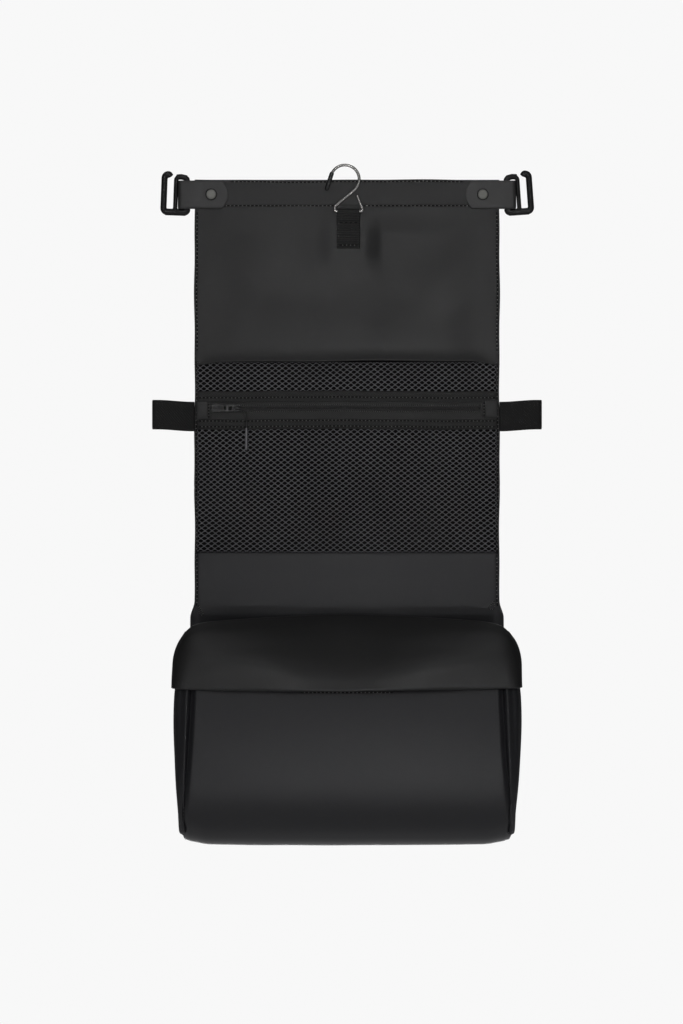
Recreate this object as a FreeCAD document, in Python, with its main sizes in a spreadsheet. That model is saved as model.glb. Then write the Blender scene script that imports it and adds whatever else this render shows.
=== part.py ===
import FreeCAD, Part
import math
import os
import Sketcher

V = FreeCAD.Vector
doc = FreeCAD.newDocument("hanging_toiletry_bag")

# ---------------------------------------------------------------- sizes, mm
# Frame: +Z up, -Y is the bag's front, origin at the inside of the hanging
# hook's bow, on the bag's middle plane.
SIZES = [
    # flat cloth
    ("panel_half", 131.0), ("panel_top", -11.5), ("lip_bottom", -166.4),
    ("mid_top", -167.6), ("mid_bottom", -385.0), ("cloth", 0.8),
    ("front_y", 2.8), ("shell_y", 4.4),
    ("stiffener_high", 19.0), ("stiffener_half", 100.0),
    # hanging hook, round wire
    ("wire_r", 1.25), ("bow_r", 12.3), ("bow_x", -1.8), ("bar_z", -38.6),
    # webbing that holds the hook
    ("web_width", 20.0), ("web_x", 1.3), ("web_ply", 1.0),
    # corner tabs and their rivets
    ("tab_high", 24.4), ("tab_mid", -24.2), ("tab_ply", 1.3), ("tab_y", 4.0),
    ("rivet_x", 116.8), ("rivet_z", -23.9), ("rivet_hole", 1.9),
    ("rivet_post", 1.6), ("rivet_cap", 5.1),
    # flat gate hooks
    ("gate_bar_x", 138.9), ("gate_thick", 3.8), ("gate_bar_r", 1.9),
    # mesh pocket, strips named by their edges going down
    ("mesh_y", 1.4), ("mesh_thick", 0.8), ("mesh_half", 129.5),
    ("mesh_a", -169.4), ("bind_a", -193.2), ("tape_a", -202.4),
    ("zip_mid", -207.8), ("tape_b", -217.6), ("bind_b", -225.8),
    ("mesh_b", -331.8), ("coil_gap", 0.7), ("coil_high", 1.5),
    ("zip_left", -117.0), ("zip_right", 116.0),
    # slider, pull, cord
    ("slider_long", 10.5), ("slider_x", -116.4), ("pull_thick", 1.0),
    ("cord_r", 0.7), ("sleeve_r", 1.25), ("sleeve_bore", 0.82),
    # side loops
    ("loop_high", 25.0), ("loop_z", -215.0), ("loop_x", 133.6),
    # pouch
    ("wall", 1.4), ("pouch_top", -387.0), ("pouch_floor", -583.0),
    ("collar_gap", 1.3), ("collar_thick", 1.1),
]
sheet = doc.addObject("Spreadsheet::Sheet", "dims")
for row, (name, value) in enumerate(SIZES, 1):
    sheet.set(f"A{row}", name)
    sheet.set(f"B{row}", str(value))
    sheet.setAlias(f"B{row}", name)
doc.recompute()


def d(name):
    return float(sheet.get(name))


parts = []


def keep(obj, label):
    obj.Label = label
    parts.append(obj)
    return obj


def bind(obj, prop, expression):
    """Sets one size of an object to an expression of the sheet's names."""
    for name, _ in sorted(SIZES, key=lambda s: -len(s[0])):
        expression = expression.replace("<" + name + ">", "dims." + name)
    obj.setExpression(prop, expression)


# ------------------------------------------------------------------ builders
def box(label, x, y, z, hide=False):
    """A plain strip or plate between three pairs of expressions."""
    o = doc.addObject("Part::Box", label)
    for prop, (a, b) in (("Length", x), ("Width", y), ("Height", z)):
        bind(o, prop, f"({b})-({a})")
    for axis, (a, _) in zip("xyz", (x, y, z)):
        bind(o, "Placement.Base." + axis, a)
    return o if hide else keep(o, label)


def sketch(body, plane, loops, lift=0.0, name="Sketch"):
    """Closed loops of points, or (centre, radius) circles, on a body's own plane."""
    sk = body.newObject("Sketcher::SketchObject", name)
    origin = [f for f in body.Origin.OriginFeatures if f.Role == plane][0]
    sk.AttachmentSupport = [(origin, "")]
    sk.MapMode = "FlatFace"
    sk.AttachmentOffset = FreeCAD.Placement(V(0, 0, lift), FreeCAD.Rotation())
    for loop in loops:
        if isinstance(loop[1], (int, float)):
            sk.addGeometry(Part.Circle(V(loop[0][0], loop[0][1], 0), V(0, 0, 1), loop[1]), False)
            continue
        first = sk.GeometryCount
        n = len(loop)
        for i in range(n):
            a, b = loop[i], loop[(i + 1) % n]
            sk.addGeometry(Part.LineSegment(V(a[0], a[1], 0), V(b[0], b[1], 0)), False)
        for i in range(n):
            sk.addConstraint(Sketcher.Constraint("Coincident", first + i, 2, first + (i + 1) % n, 1))
    return sk


def pad_body(label, plane, loops, length, lift=0.0, middle=False, reverse=False):
    body = doc.addObject("PartDesign::Body", label)
    sk = sketch(body, plane, loops, lift, label + "_outline")
    pad = body.newObject("PartDesign::Pad", label + "_pad")
    pad.Profile = sk
    pad.Midplane = middle
    pad.Reversed = reverse
    bind(pad, "Length", length)
    body.Tip = pad
    doc.recompute()
    return keep(body, label)


def pocket(body, plane, loops, lift=0.0):
    """Cuts right through, both ways from the plane."""
    before = body.Shape.Volume
    sk = sketch(body, plane, loops, lift, body.Label + "_cut")
    cut = body.newObject("PartDesign::Pocket", body.Label + "_pocket")
    cut.Profile = sk
    cut.Type = 0
    cut.Length = 60.0
    cut.Midplane = True
    body.Tip = cut
    doc.recompute()
    assert body.Shape.Volume < before - 0.5, body.Label + ": the pocket cut nothing"


def arc(cx, cy, r, a0, a1, n=8):
    """Points of an arc, angles in degrees."""
    return [(cx + r * math.cos(math.radians(a0 + (a1 - a0) * i / n)),
             cy + r * math.sin(math.radians(a0 + (a1 - a0) * i / n))) for i in range(n + 1)]


def round_path(points, radii):
    """A wire of straight runs joined by tangent arcs, and its length."""
    edges, at = [], points[0]
    for i in range(1, len(points) - 1):
        p, q, r = points[i - 1], points[i], points[i + 1]
        u, w = (p - q).normalize(), (r - q).normalize()
        turn = math.pi - u.getAngle(w)
        back = radii[i - 1] * math.tan(turn / 2)
        a, b = q + u * back, q + w * back
        centre_way = (u + w).normalize()
        middle = q + centre_way * (radii[i - 1] / math.cos(turn / 2) - radii[i - 1])
        if (a - at).Length > 1e-6:
            edges.append(Part.LineSegment(at, a).toShape())
        edges.append(Part.Arc(a, middle, b).toShape())
        at = b
    edges.append(Part.LineSegment(at, points[-1]).toShape())
    wire = Part.Wire(edges)
    return wire, wire.Length


def pipe(wire, radius):
    first = wire.Edges[0]
    start = first.valueAt(first.FirstParameter)
    along = first.tangentAt(first.FirstParameter)
    ring = Part.Wire([Part.Circle(start, along, radius).toShape()])
    return wire.makePipeShell([ring], True, True)


def shaped(label, shape):
    o = doc.addObject("Part::Feature", label)
    o.Shape = shape
    return keep(o, label)


def sub(a, b):
    return tuple(a[k] - b[k] for k in range(3))


def cross(a, b):
    return (a[1] * b[2] - a[2] * b[1], a[2] * b[0] - a[0] * b[2], a[0] * b[1] - a[1] * b[0])


def inward(grid, thick, side=1):
    """The grid moved by its own thickness along each point's normal."""
    rows, cols = len(grid), len(grid[0])
    out = []
    for i in range(rows):
        line = []
        for j in range(cols):
            n = [0.0, 0.0, 0.0]
            for i0 in (i - 1, i):
                for j0 in (j - 1, j):
                    if 0 <= i0 < rows - 1 and 0 <= j0 < cols - 1:
                        c = cross(sub(grid[i0 + 1][j0 + 1], grid[i0][j0]),
                                  sub(grid[i0 + 1][j0], grid[i0][j0 + 1]))
                        size = math.sqrt(sum(v * v for v in c)) or 1.0
                        n = [n[k] + c[k] / size for k in range(3)]
            size = math.sqrt(sum(v * v for v in n))
            line.append(tuple(grid[i][j][k] + side * thick * n[k] / size for k in range(3)))
        out.append(line)
    return out


def closed_skin(label, outer, inner):
    """A closed thin solid between two grids of points of the same size.
    Each four-point patch is split along its diagonal that falls towards the
    bag's middle, so the left and right halves match."""
    rows, cols = len(outer), len(outer[0])
    tri = []

    def quad(a, b, c, e):
        tri.append((a, b, c))
        tri.append((a, c, e))

    for i in range(rows - 1):
        for j in range(cols - 1):
            for g, way in ((outer, 1), (inner, -1)):
                p, q, r, t = g[i][j], g[i][j + 1], g[i + 1][j + 1], g[i + 1][j]
                if p[0] + q[0] + r[0] + t[0] > 0:
                    p, q, r, t = q, r, t, p
                for three in ((p, q, r), (p, r, t)):
                    tri.append(three if way > 0 else three[::-1])
    ring = [(0, j) for j in range(cols)] + [(i, cols - 1) for i in range(1, rows)]
    ring += [(rows - 1, j) for j in range(cols - 2, -1, -1)] + [(i, 0) for i in range(rows - 2, 0, -1)]
    for k in range(len(ring)):
        (a, b), (c, e) = ring[k], ring[(k + 1) % len(ring)]
        quad(outer[a][b], inner[a][b], inner[c][e], outer[c][e])
    faces = [Part.Face(Part.makePolygon([V(*p) for p in t] + [V(*t[0])])) for t in tri]
    shell = Part.makeShell(faces)
    shell.sewShape()
    solid = Part.makeSolid(shell)
    if solid.Volume < 0:
        solid.reverse()
    return shaped(label, solid)


def mirror(points):
    return [(-x, y, z) for x, y, z in points]


# ================================================================ hanging hook
w, bx, bz = d("wire_r"), d("bow_x"), d("bar_z")
br = d("bow_r")
cz = w - br  # the bow's inside top is at z = 0


def bow(angle):
    return V(bx + br * math.cos(math.radians(angle)), 0, cz + br * math.sin(math.radians(angle)))


# tip, straight up to the bow, round over the top, then slanting back across
tip, lift_off, leave = V(-16.9, 0, -17.6), bow(161.9), bow(-50.4)
slant = V(-math.sin(math.radians(50.4)), 0, -math.cos(math.radians(50.4)))
corner = leave + slant * ((leave.x + 10.4) / math.sin(math.radians(50.4)))
edges = [Part.LineSegment(tip, lift_off).toShape(), Part.Arc(lift_off, bow(60), leave).toShape()]
lower, _ = round_path(
    [leave, corner, V(-10.4, 0, bz), V(14.0, 0, bz), V(8.6, 0, -24.6)], [2.0, 1.35, 1.4])
hook = shaped("hanging_hook", pipe(Part.Wire(edges + lower.Edges), w))

along = (tip - lift_off).normalize()
sleeve = Part.makeCylinder(1.85, 12.4, lift_off, along)
cap = Part.makeSphere(1.85, lift_off + along * 12.4)
core = Part.makeCylinder(w + 0.02, 11.7, lift_off - along * 0.6, along)
shaped("hook_tip_sleeve", sleeve.fuse(cap).cut(core).removeSplitter())

# ================================================================== top panel
front, shell_y, cloth = d("front_y"), d("shell_y"), d("cloth")
lip = d("lip_bottom")
# the front layer ends in a soft roll towards the front, over the pocket's top
pad_body("upper_panel", "YZ_Plane", [[
    (front, d("panel_top")), (front + cloth, d("panel_top")), (front + cloth, -156.0),
    (3.0, -160.5), (1.4, -164.6), (-0.8, lip), (-1.3, lip + 0.6), (0.6, -163.6),
    (2.2, -160.0), (front, -155.0)]], "2*<panel_half>", middle=True)
box("upper_back", ("-<panel_half>", "<panel_half>"), ("<shell_y>", "<shell_y>+<cloth>"), ("-165.6", "<panel_top>"))
box("top_stiffener", ("-<stiffener_half>", "<stiffener_half>"), ("<front_y>+<cloth>+0.02", "<shell_y>-0.02"),
    ("<panel_top>-1-<stiffener_high>", "<panel_top>-1"))

# webbing: a loop round the hook's bottom bar, then two plies down the front
ply = d("web_ply")
outer = arc(0, bz, 2.45, 205, -5, 12)
outer = [(-2.2, bz - 1.6)] + outer + [(2.75, bz - 3.0), (2.75, -70.4), (0.7, -70.4), (0.7, bz - 9.0)]
hole = arc(0.05, bz, 1.42, 0, 180, 10) + [(-1.36, bz - 1.0), (1.1, bz - 7.4), (1.46, bz - 3.2)]
pad_body("hanger_webbing", "YZ_Plane", [outer, hole], "<web_width>", lift=d("web_x") - 10.0)

# corner tabs: a strap round each gate hook's bar, one ply each side of the panel
ty, tp = d("tab_y"), d("tab_ply")
xc = d("gate_bar_x")
for side, sign in (("left", -1), ("right", 1)):
    o = [(102.3, 1.5), (131.0, 1.5), (xc - 0.2, ty - 3.55)] + arc(xc + 1.0, ty, 3.55, -90, 90, 10)[1:] + \
        [(xc - 0.2, ty + 3.55), (131.0, 6.5), (102.3, 6.5), (102.3, 5.22), (131.3, 5.22),
         (xc - 1.2, ty + 2.3)] + arc(xc + 1.0, ty, 2.3, 90, -90, 8)[1:] + [(xc - 1.2, ty - 2.3), (131.3, 2.78), (102.3, 2.78)]
    tab = pad_body("tab_" + side, "XY_Plane", [[(sign * x, y) for x, y in o]], "<tab_high>",
                   lift=d("tab_mid") - d("tab_high") / 2)
    top, low, mid = d("tab_mid") + 12.2, d("tab_mid") - 12.2, d("tab_mid")
    # the rounded end, and the rivet's hole
    curve = [(102.3 + (17.2 - math.sqrt(17.2 ** 2 - v * v)), mid + v) for v in [12.2 - i * 1.2 for i in range(8)]]
    upper = [(101.0, top + 1), (curve[0][0], top + 1)] + curve + [(101.0, curve[-1][1])]
    under = [(x, 2 * mid - z) for x, z in upper]
    pocket(tab, "XZ_Plane", [[(sign * x, z) for x, z in upper], [(sign * x, z) for x, z in under],
                             ((sign * d("rivet_x"), d("rivet_z")), d("rivet_hole"))])
    for node, r0, r1, y0, y1 in (("rivet_cap_", d("rivet_cap"), 4.3, 0.2, 1.45),):
        disc = Part.makeCylinder(r0, 0.75, V(sign * d("rivet_x"), y1, d("rivet_z")), V(0, -1, 0))
        dome = Part.makeCone(r1 + 0.1, r1 - 0.7, 0.5, V(sign * d("rivet_x"), y1 - 0.75, d("rivet_z")), V(0, -1, 0))
        shaped(node + side, disc.fuse(dome).removeSplitter())
    post = Part.makeCylinder(d("rivet_post"), 5.1, V(sign * d("rivet_x"), 1.47, d("rivet_z")), V(0, 1, 0))
    tail = Part.makeCylinder(4.2, 0.9, V(sign * d("rivet_x"), 6.57, d("rivet_z")), V(0, 1, 0))
    shaped("rivet_post_" + side, post.fuse(tail).removeSplitter())

# the rivets' holes through both cloth layers
for name in ("upper_panel",):
    panel = [p for p in parts if p.Label == name][0]
    pocket(panel, "XZ_Plane", [((s * d("rivet_x"), d("rivet_z")), d("rivet_hole")) for s in (-1, 1)])
back = [p for p in parts if p.Label == "upper_back"][0]
parts.remove(back)
back.Label = "upper_back_blank"
drills = []
for s in (-1, 1):
    c = doc.addObject("Part::Cylinder", "rivet_drill")
    bind(c, "Radius", "<rivet_hole>")
    c.Height = 4.0
    c.Placement = FreeCAD.Placement(V(s * d("rivet_x"), 6.5, d("rivet_z")), FreeCAD.Rotation(V(1, 0, 0), 90))
    drills.append(c)
both = doc.addObject("Part::MultiFuse", "rivet_drills")
both.Shapes = drills
cut = doc.addObject("Part::Cut", "upper_back_drilled")
cut.Base, cut.Tool = back, both
keep(cut, "upper_back")

# ============================================================ flat gate hooks
# frame: bottom rail, outer arm with a turned-in tip, middle bar, top rail,
# and the round inner bar inside the tab
for side, sign, tilt in (("left", -1, 2.0), ("right", 1, 4.0)):
    t = d("gate_thick")
    arm = [(160.0, -37.0), (159.6, -40.6), (157.4, -42.8), (153.6, -43.2), (139.0, -43.4), (136.6, -41.6),
           (135.3, -38.4), (135.3, -37.0)]
    frame = arm + [(136.9, -37.0), (136.9, -11.2), (135.4, -10.6), (137.0, -8.2), (140.0, -6.6), (146.0, -5.6),
                   (148.6, -6.2), (150.0, -8.6), (149.9, -10.9), (149.6, -12.0), (149.6, -36.6), (151.0, -37.4),
                   (153.6, -37.6), (155.1, -36.2), (155.1, -12.0), (154.6, -10.2), (152.9, -9.5), (151.4, -9.8),
                   (151.0, -8.0), (152.0, -5.8), (154.0, -4.6), (156.6, -5.2), (158.8, -7.4), (160.0, -11.2)]
    window = [(140.9, -11.6), (146.2, -11.6), (146.2, -37.0), (140.9, -37.0)]
    g = doc.addObject("PartDesign::Body", "g_hook_" + side)
    sk = sketch(g, "XZ_Plane", [[(sign * x, z) for x, z in frame], [(sign * x, z) for x, z in window]],
                -(ty + t / 2), "gate_outline")
    pad = g.newObject("PartDesign::Pad", "gate_pad")
    pad.Profile = sk
    bind(pad, "Length", "<gate_thick>")
    g.Tip = pad
    doc.recompute()
    # the inner bar is thinned to a round rod where the tab goes round it
    blank = g.Shape
    trim = Part.makeBox(4.0, 12.0, 26.2, V(xc - 2.0, ty - 6, -37.3))
    rod = Part.makeCylinder(d("gate_bar_r"), 27.4, V(xc, ty, -37.8))
    solid = blank.copy()
    if sign < 0:
        trim = trim.mirror(V(0, 0, 0), V(1, 0, 0))
        rod = rod.mirror(V(0, 0, 0), V(1, 0, 0))
    solid = solid.cut(trim).fuse(rod).removeSplitter()
    # edges are eased where the rounding holds
    solid.rotate(V(sign * xc, ty, d("tab_mid")), V(0, 1, 0), -sign * tilt if sign > 0 else sign * tilt * -1)
    g.Label = "gate_blank_" + side
    shaped("g_hook_" + side, solid)

# ================================================== middle panel, mesh pocket
box("mid_back", ("-<panel_half>", "<panel_half>"), ("<shell_y>", "<shell_y>+<cloth>"), ("<mid_bottom>", "<mid_top>"))
box("pocket_backing", ("-<panel_half>", "<panel_half>"), ("<front_y>", "<front_y>+<cloth>"), ("<mesh_b>", "<mid_top>"))
box("lower_facing", ("-<panel_half>", "<panel_half>"), ("<front_y>-0.9", "<front_y>+<cloth>"), ("<mid_bottom>", "<mesh_b>-0.3"))
MESH = ("<mesh_y>", "<mesh_y>+<mesh_thick>")
WIDE = ("-<mesh_half>", "<mesh_half>")
box("mesh_upper", WIDE, MESH, ("<bind_a>+0.05", "<mesh_a>"))
box("mesh_lower", WIDE, MESH, ("<mesh_b>", "<bind_b>-0.05"))
box("zip_binding_upper", WIDE, ("0.5", "<mesh_y>+<mesh_thick>"), ("<tape_a>+0.05", "<bind_a>"))
box("zip_binding_lower", WIDE, ("0.5", "<mesh_y>+<mesh_thick>"), ("<bind_b>", "<tape_b>-0.05"))
box("zip_tape_upper", WIDE, ("1.0", "1.7"), ("<zip_mid>+<coil_gap>+<coil_high>+0.02", "<tape_a>"))
box("zip_tape_lower", WIDE, ("1.0", "1.7"), ("<tape_b>", "<zip_mid>-<coil_gap>-<coil_high>-0.02"))
ZIP = ("<zip_left>+12.4", "<zip_right>-1.6")
box("zip_coil_upper", ("<zip_left>+0.4", "<zip_right>-1.6"), ("0.7", "1.9"), ("<zip_mid>+<coil_gap>", "<zip_mid>+<coil_gap>+<coil_high>"))
box("zip_coil_lower", ("<zip_left>+0.4", "<zip_right>-1.6"), ("0.7", "1.9"), ("<zip_mid>-<coil_gap>-<coil_high>", "<zip_mid>-<coil_gap>"))
# folded cloth pieces that close the zip's two ends
box("zip_end_tab_left", ("-128.8", "<zip_left>-0.1"), ("-0.2", "0.96"), ("-217.4", "-202.6"))
box("zip_end_tab_right", ("<zip_right>+0.1", "129.2"), ("-0.2", "0.96"), ("-216.4", "-202.6"))
# the end stop across both coils
box("zip_stop", ("<zip_right>-1.5", "<zip_right>-0.1"), ("0.3", "0.98"), ("<zip_mid>-2.6", "<zip_mid>+2.6"))

# ============================================================ slider and pull
# two plates joined by a thin wedge that runs between the coils
sx, zm = d("slider_x"), d("zip_mid")
sl = d("slider_long")


def plate(y, thick, grow=0.0):
    pts = [(sx, zm - 2.7 - grow), (sx + 2.4, zm - 3.6 - grow), (sx + sl - 1.6, zm - 3.1 - grow),
           (sx + sl, zm - 1.9), (sx + sl, zm + 1.9), (sx + sl - 1.6, zm + 3.1 + grow),
           (sx + 2.4, zm + 3.6 + grow), (sx, zm + 2.7 + grow)]
    wire = Part.makePolygon([V(x, y, z) for x, z in pts + pts[:1]])
    return Part.Face(wire).extrude(V(0, thick, 0))


top_plate = plate(-0.85, 1.15)
low_plate = plate(2.24, 0.25)
wedge = Part.makeBox(7.0, 2.6, 0.6, V(sx + 1.6, -0.2, zm - 0.3))
# the bridge that the pull hangs on: a low bow along the slider
bridge = Part.makeBox(7.6, 0.9, 1.8, V(sx + 1.6, -3.3, zm - 0.9))
leg_a = Part.makeBox(1.2, 2.9, 1.8, V(sx + 1.6, -3.3, zm - 0.9))
leg_b = Part.makeBox(1.2, 2.9, 1.8, V(sx + 8.0, -3.3, zm - 0.9))
shaped("zip_slider", top_plate.fuse([low_plate, wedge, bridge, leg_a, leg_b]).removeSplitter())

# pull: a cross bar under the bridge, two cheeks round it, then a flat tab with a hole
px = sx + 6.3
cheek = [Part.makeBox(6.2, 1.0, 1.5, V(px - 0.42, -2.15, zm + s)) for s in (1.35, -2.85)]
axle = Part.makeCylinder(0.42, 5.4, V(px, -1.62, zm - 2.7))
tab = Part.makeBox(13.7, 1.0, 5.7, V(px + 5.2, -2.15, zm - 2.85))
end = Part.makeCylinder(2.85, 1.0, V(px + 18.9 - 2.85, -2.15, zm), V(0, 1, 0))
tab = tab.cut(Part.makeBox(3.0, 3.0, 8.0, V(px + 18.9 - 2.85, -3.0, zm - 4.0))).fuse(end)
hole_a = Part.makeCylinder(1.2, 3.0, V(px + 16.1, -3.0, zm), V(0, 1, 0))
slot = Part.makeBox(3.4, 3.0, 1.4, V(px + 8.0, -3.0, zm - 0.7))
pull = tab.fuse(cheek + [axle]).cut(hole_a.fuse(slot)).removeSplitter()
shaped("zip_pull", pull)

# cord with a tube on its end, hanging in front of the pull's hole
hx = px + 16.1
route = [V(hx + 0.4, -3.6, zm + 0.1), V(hx + 5.2, -3.4, zm - 1.2), V(hx + 7.7, -3.1, zm - 6.0),
         V(hx + 7.5, -2.9, zm - 15.8), V(hx + 7.4, -2.8, zm - 36.0)]
radii = []
for i in range(1, len(route) - 1):
    u, q = route[i - 1] - route[i], route[i + 1] - route[i]
    turn = math.pi - u.getAngle(q)
    radii.append(0.45 * min(u.Length, q.Length) / math.tan(turn / 2))
print("cord radii, mm:", [round(r, 1) for r in radii])
wire, cord_length = round_path(route, radii)
cord = pipe(wire, d("cord_r"))
print("cord length, mm:", round(cord_length, 2), "volume over section times length:",
      round(cord.Volume / (math.pi * d("cord_r") ** 2 * cord_length), 4))
shaped("pull_cord", cord)
down = (route[-1] - route[-2]).normalize()
tube = Part.makeCylinder(d("sleeve_r"), 19.4, route[-1] - down * 19.0, down)
tube = tube.cut(Part.makeCylinder(d("sleeve_bore"), 19.15, route[-1] - down * 19.1, down))
shaped("pull_sleeve", tube)

# ================================================================= side loops
lx, ly = d("loop_x"), 4.0
for side, sign in (("left", -1), ("right", 1)):
    ring_o = arc(lx + 0.2, ly, 1.3, 115, 245, 6) + [(141.0, ly - 3.4), (152.0, ly - 4.1)] + \
        arc(163.4, ly, 4.3, -90, 90, 10) + [(152.0, ly + 4.1), (141.0, ly + 3.4)]
    ring_i = [(137.2, ly - 0.6), (143.0, ly - 2.4), (152.0, ly - 2.9)] + \
        arc(163.4, ly, 3.0, -90, 90, 10) + [(152.0, ly + 2.9), (143.0, ly + 2.4), (137.2, ly + 0.6)]
    pad_body("side_loop_" + side, "XY_Plane",
             [[(sign * x, y) for x, y in ring_o], [(sign * x, y) for x, y in ring_i]],
             "<loop_high>", lift=d("loop_z") - 12.5)

# ====================================================================== pouch
wall = d("wall")
box("pouch_back", ("-132.0", "132.0"), ("3.0", "3.0+<wall>+0.8"), ("-570.5", "<pouch_top>"))

# front and bottom are one cloth: down the front, round the corner and back
profile = [(-97.0, -449.6, 133.0), (-99.2, -468.0, 133.8), (-100.6, -498.0, 135.6), (-99.8, -528.0, 138.2),
           (-95.6, -552.0, 140.0), (-87.0, -569.0, 140.4), (-73.0, -579.2, 139.6), (-50.0, -583.0, 138.4),
           (-24.0, -583.0, 137.0), (-8.0, -579.6, 134.4), (1.4, -572.4, 131.6)]


def across(half, y, z, cols=6):
    return [(-half + 2 * half * j / cols, y, z) for j in range(cols + 1)]


grid = [across(half - 1.4, y, z) for y, z, half in profile]
closed_skin("front_panel", grid, inward(grid, wall))

# hidden sloping wall under the collar, folded along a V
neck_top = [(-131.4, -80.2, -399.2), (-66.5, -55.3, -393.2), (0.0, -30.5, -387.2), (66.5, -55.3, -393.2), (131.4, -80.2, -399.2)]
neck_mid = [(-131.4, -87.5, -422.0), (-76.0, -82.0, -415.4), (0.0, -63.0, -415.4), (76.0, -82.0, -415.4), (131.4, -87.5, -422.0)]
neck_low = [(-131.4, -95.4, -447.6), (-70.0, -97.8, -446.9), (0.0, -98.6, -446.6), (70.0, -97.8, -446.9), (131.4, -95.4, -447.6)]
grid = [neck_top, neck_mid, neck_low]
closed_skin("front_neck", grid, inward(grid, 1.1))

# gussets: from the rim down to the floor, bulging outside the front's seams
levels = [
    [(133.6, 2.2, -392.0), (135.0, -20, -393.6), (136.2, -45, -396.0), (137.0, -65, -397.6), (137.0, -77.0, -398.8), (133.6, -80.0, -399.2)],
    [(134.4, 2.2, -425.0), (138.6, -20, -425), (142.4, -45, -425), (143.8, -68, -425), (142.2, -84.5, -425), (135.0, -88.3, -425)],
    [(135.0, 2.2, -450.0), (141.2, -20, -450), (146.0, -45, -450), (147.0, -70, -450), (144.4, -90.0, -450), (133.9, -95.6, -450)],
    [(135.4, 2.2, -490.0), (142.0, -20, -490), (147.0, -45, -490), (147.6, -70, -490), (145.6, -91.5, -490), (136.0, -99.8, -490)],
    [(135.6, 2.2, -528.0), (141.4, -20, -528), (145.6, -45, -528), (146.2, -70, -528), (144.8, -90.0, -528), (139.0, -99.2, -528)],
    [(134.8, 2.2, -556.0), (140.2, -20, -560), (143.6, -45, -562), (144.4, -68, -559), (143.8, -84.0, -556), (140.9, -93.4, -555)],
    [(132.6, 1.2, -571.6), (136.2, -17, -580.6), (138.2, -34, -582.4), (139.4, -54, -581.8), (140.4, -73.0, -578.0), (141.1, -87.0, -568.0)],
]
for side, sign in (("left", -1), ("right", 1)):
    grid = [[(sign * x, y, z) for x, y, z in level] for level in levels]
    closed_skin("gusset_" + side, grid, inward(grid, wall, -sign))

# ===================================================================== collar
# the mouth's cuff, turned down over the outside: front and two side wings
lift, thick = d("collar_gap"), d("collar_thick")
def over(row, dy, dz, corner):
    """A row of the neck moved outwards, with the collar's own corner at each end."""
    x, y, z = corner
    return [(-x, y, z)] + [(a, b + dy, c + dz) for a, b, c in row] + [(x, y, z)]


collar_top = over(neck_top, -2.3, 2.2, (138.6, -83.4, -397.3))
collar_mid = over(neck_mid, -3.0, 2.4, (143.6, -92.2, -420.6))
collar_low = over(neck_low, -3.4, -1.6, (147.6, -99.8, -448.6))
grid = [collar_top, collar_mid, collar_low]
closed_skin("collar_front", grid, inward(grid, thick))
wings = [
    [(136.0, 1.6, -390.8), (137.6, -20, -393.0), (138.6, -46, -395.8), (139.4, -66, -397.4), (139.4, -79.6, -398.4)],
    [(138.4, 1.6, -416.0), (142.4, -20, -416.8), (145.2, -46, -418.6), (146.8, -68, -420.4), (145.6, -86.4, -421.4)],
    [(139.8, 1.6, -443.4), (145.4, -20, -444.4), (149.4, -46, -445.6), (150.2, -72, -446.6), (148.9, -95.4, -447.0)],
]
for side, sign in (("left", -1), ("right", 1)):
    grid = [[(sign * x, y, z) for x, y, z in level] for level in wings]
    closed_skin("collar_" + side, grid, inward(grid, thick, -sign))

# ============================================================ check and write
doc.recompute()
for o in doc.Objects:
    bad = [s for s in o.State if s in ("Invalid", "Error")]
    assert not bad, f"{o.Label}: {o.State}"
os.makedirs("parts", exist_ok=True)
labels = [o.Label for o in parts]
assert len(set(labels)) == len(labels) <= 60, "labels repeat or are too many"
for o in parts:
    s = o.Shape
    assert not s.isNull() and s.isValid(), o.Label + ": shape is null or not valid"
    assert s.Solids and s.Volume > 0, o.Label + ": no solid"
    b = s.BoundBox
    print(f"{o.Label:20s} {s.Volume:10.1f} mm3  x {b.XMin:8.2f} {b.XMax:8.2f}  y {b.YMin:7.2f} {b.YMax:7.2f}  z {b.ZMin:8.2f} {b.ZMax:8.2f}")
    s.exportStep(f"parts/{o.Label}.step")
print(len(parts), "sub-parts")
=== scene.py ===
import math

import bpy
import numpy as np
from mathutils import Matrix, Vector


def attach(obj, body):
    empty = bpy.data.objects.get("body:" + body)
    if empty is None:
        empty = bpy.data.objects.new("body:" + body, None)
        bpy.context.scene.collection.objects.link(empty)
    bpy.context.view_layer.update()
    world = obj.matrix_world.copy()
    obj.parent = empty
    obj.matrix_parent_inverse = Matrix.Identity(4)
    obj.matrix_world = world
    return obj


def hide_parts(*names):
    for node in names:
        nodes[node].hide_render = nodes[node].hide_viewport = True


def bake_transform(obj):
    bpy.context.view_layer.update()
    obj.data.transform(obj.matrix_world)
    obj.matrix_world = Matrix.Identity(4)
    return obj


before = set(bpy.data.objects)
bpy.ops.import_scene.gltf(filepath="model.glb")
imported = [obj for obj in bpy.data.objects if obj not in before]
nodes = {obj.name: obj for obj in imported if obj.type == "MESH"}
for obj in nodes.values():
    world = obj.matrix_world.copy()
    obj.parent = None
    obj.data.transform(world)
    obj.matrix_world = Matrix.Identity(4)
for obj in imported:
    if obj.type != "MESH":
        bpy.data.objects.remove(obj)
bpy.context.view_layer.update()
scene = bpy.context.scene

# ---------------------------------------------------------------- camera
# 0.86 mm a pixel in the panel's plane, 12 m away with a long lens
PX = 0.00086
cam = bpy.data.objects.new("camera", bpy.data.cameras.new("camera"))
scene.collection.objects.link(cam)
cam.data.sensor_fit = "VERTICAL"
cam.data.sensor_height = 24
cam.data.lens = 24 * 12.0 / (1024 * PX)
cam.data.clip_end = 60
cam.location = ((341.5 - 347) * PX, -12.0, -(512 - 166.5) * PX)
cam.rotation_euler = (math.pi / 2, 0, 0)
scene.camera = cam

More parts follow.
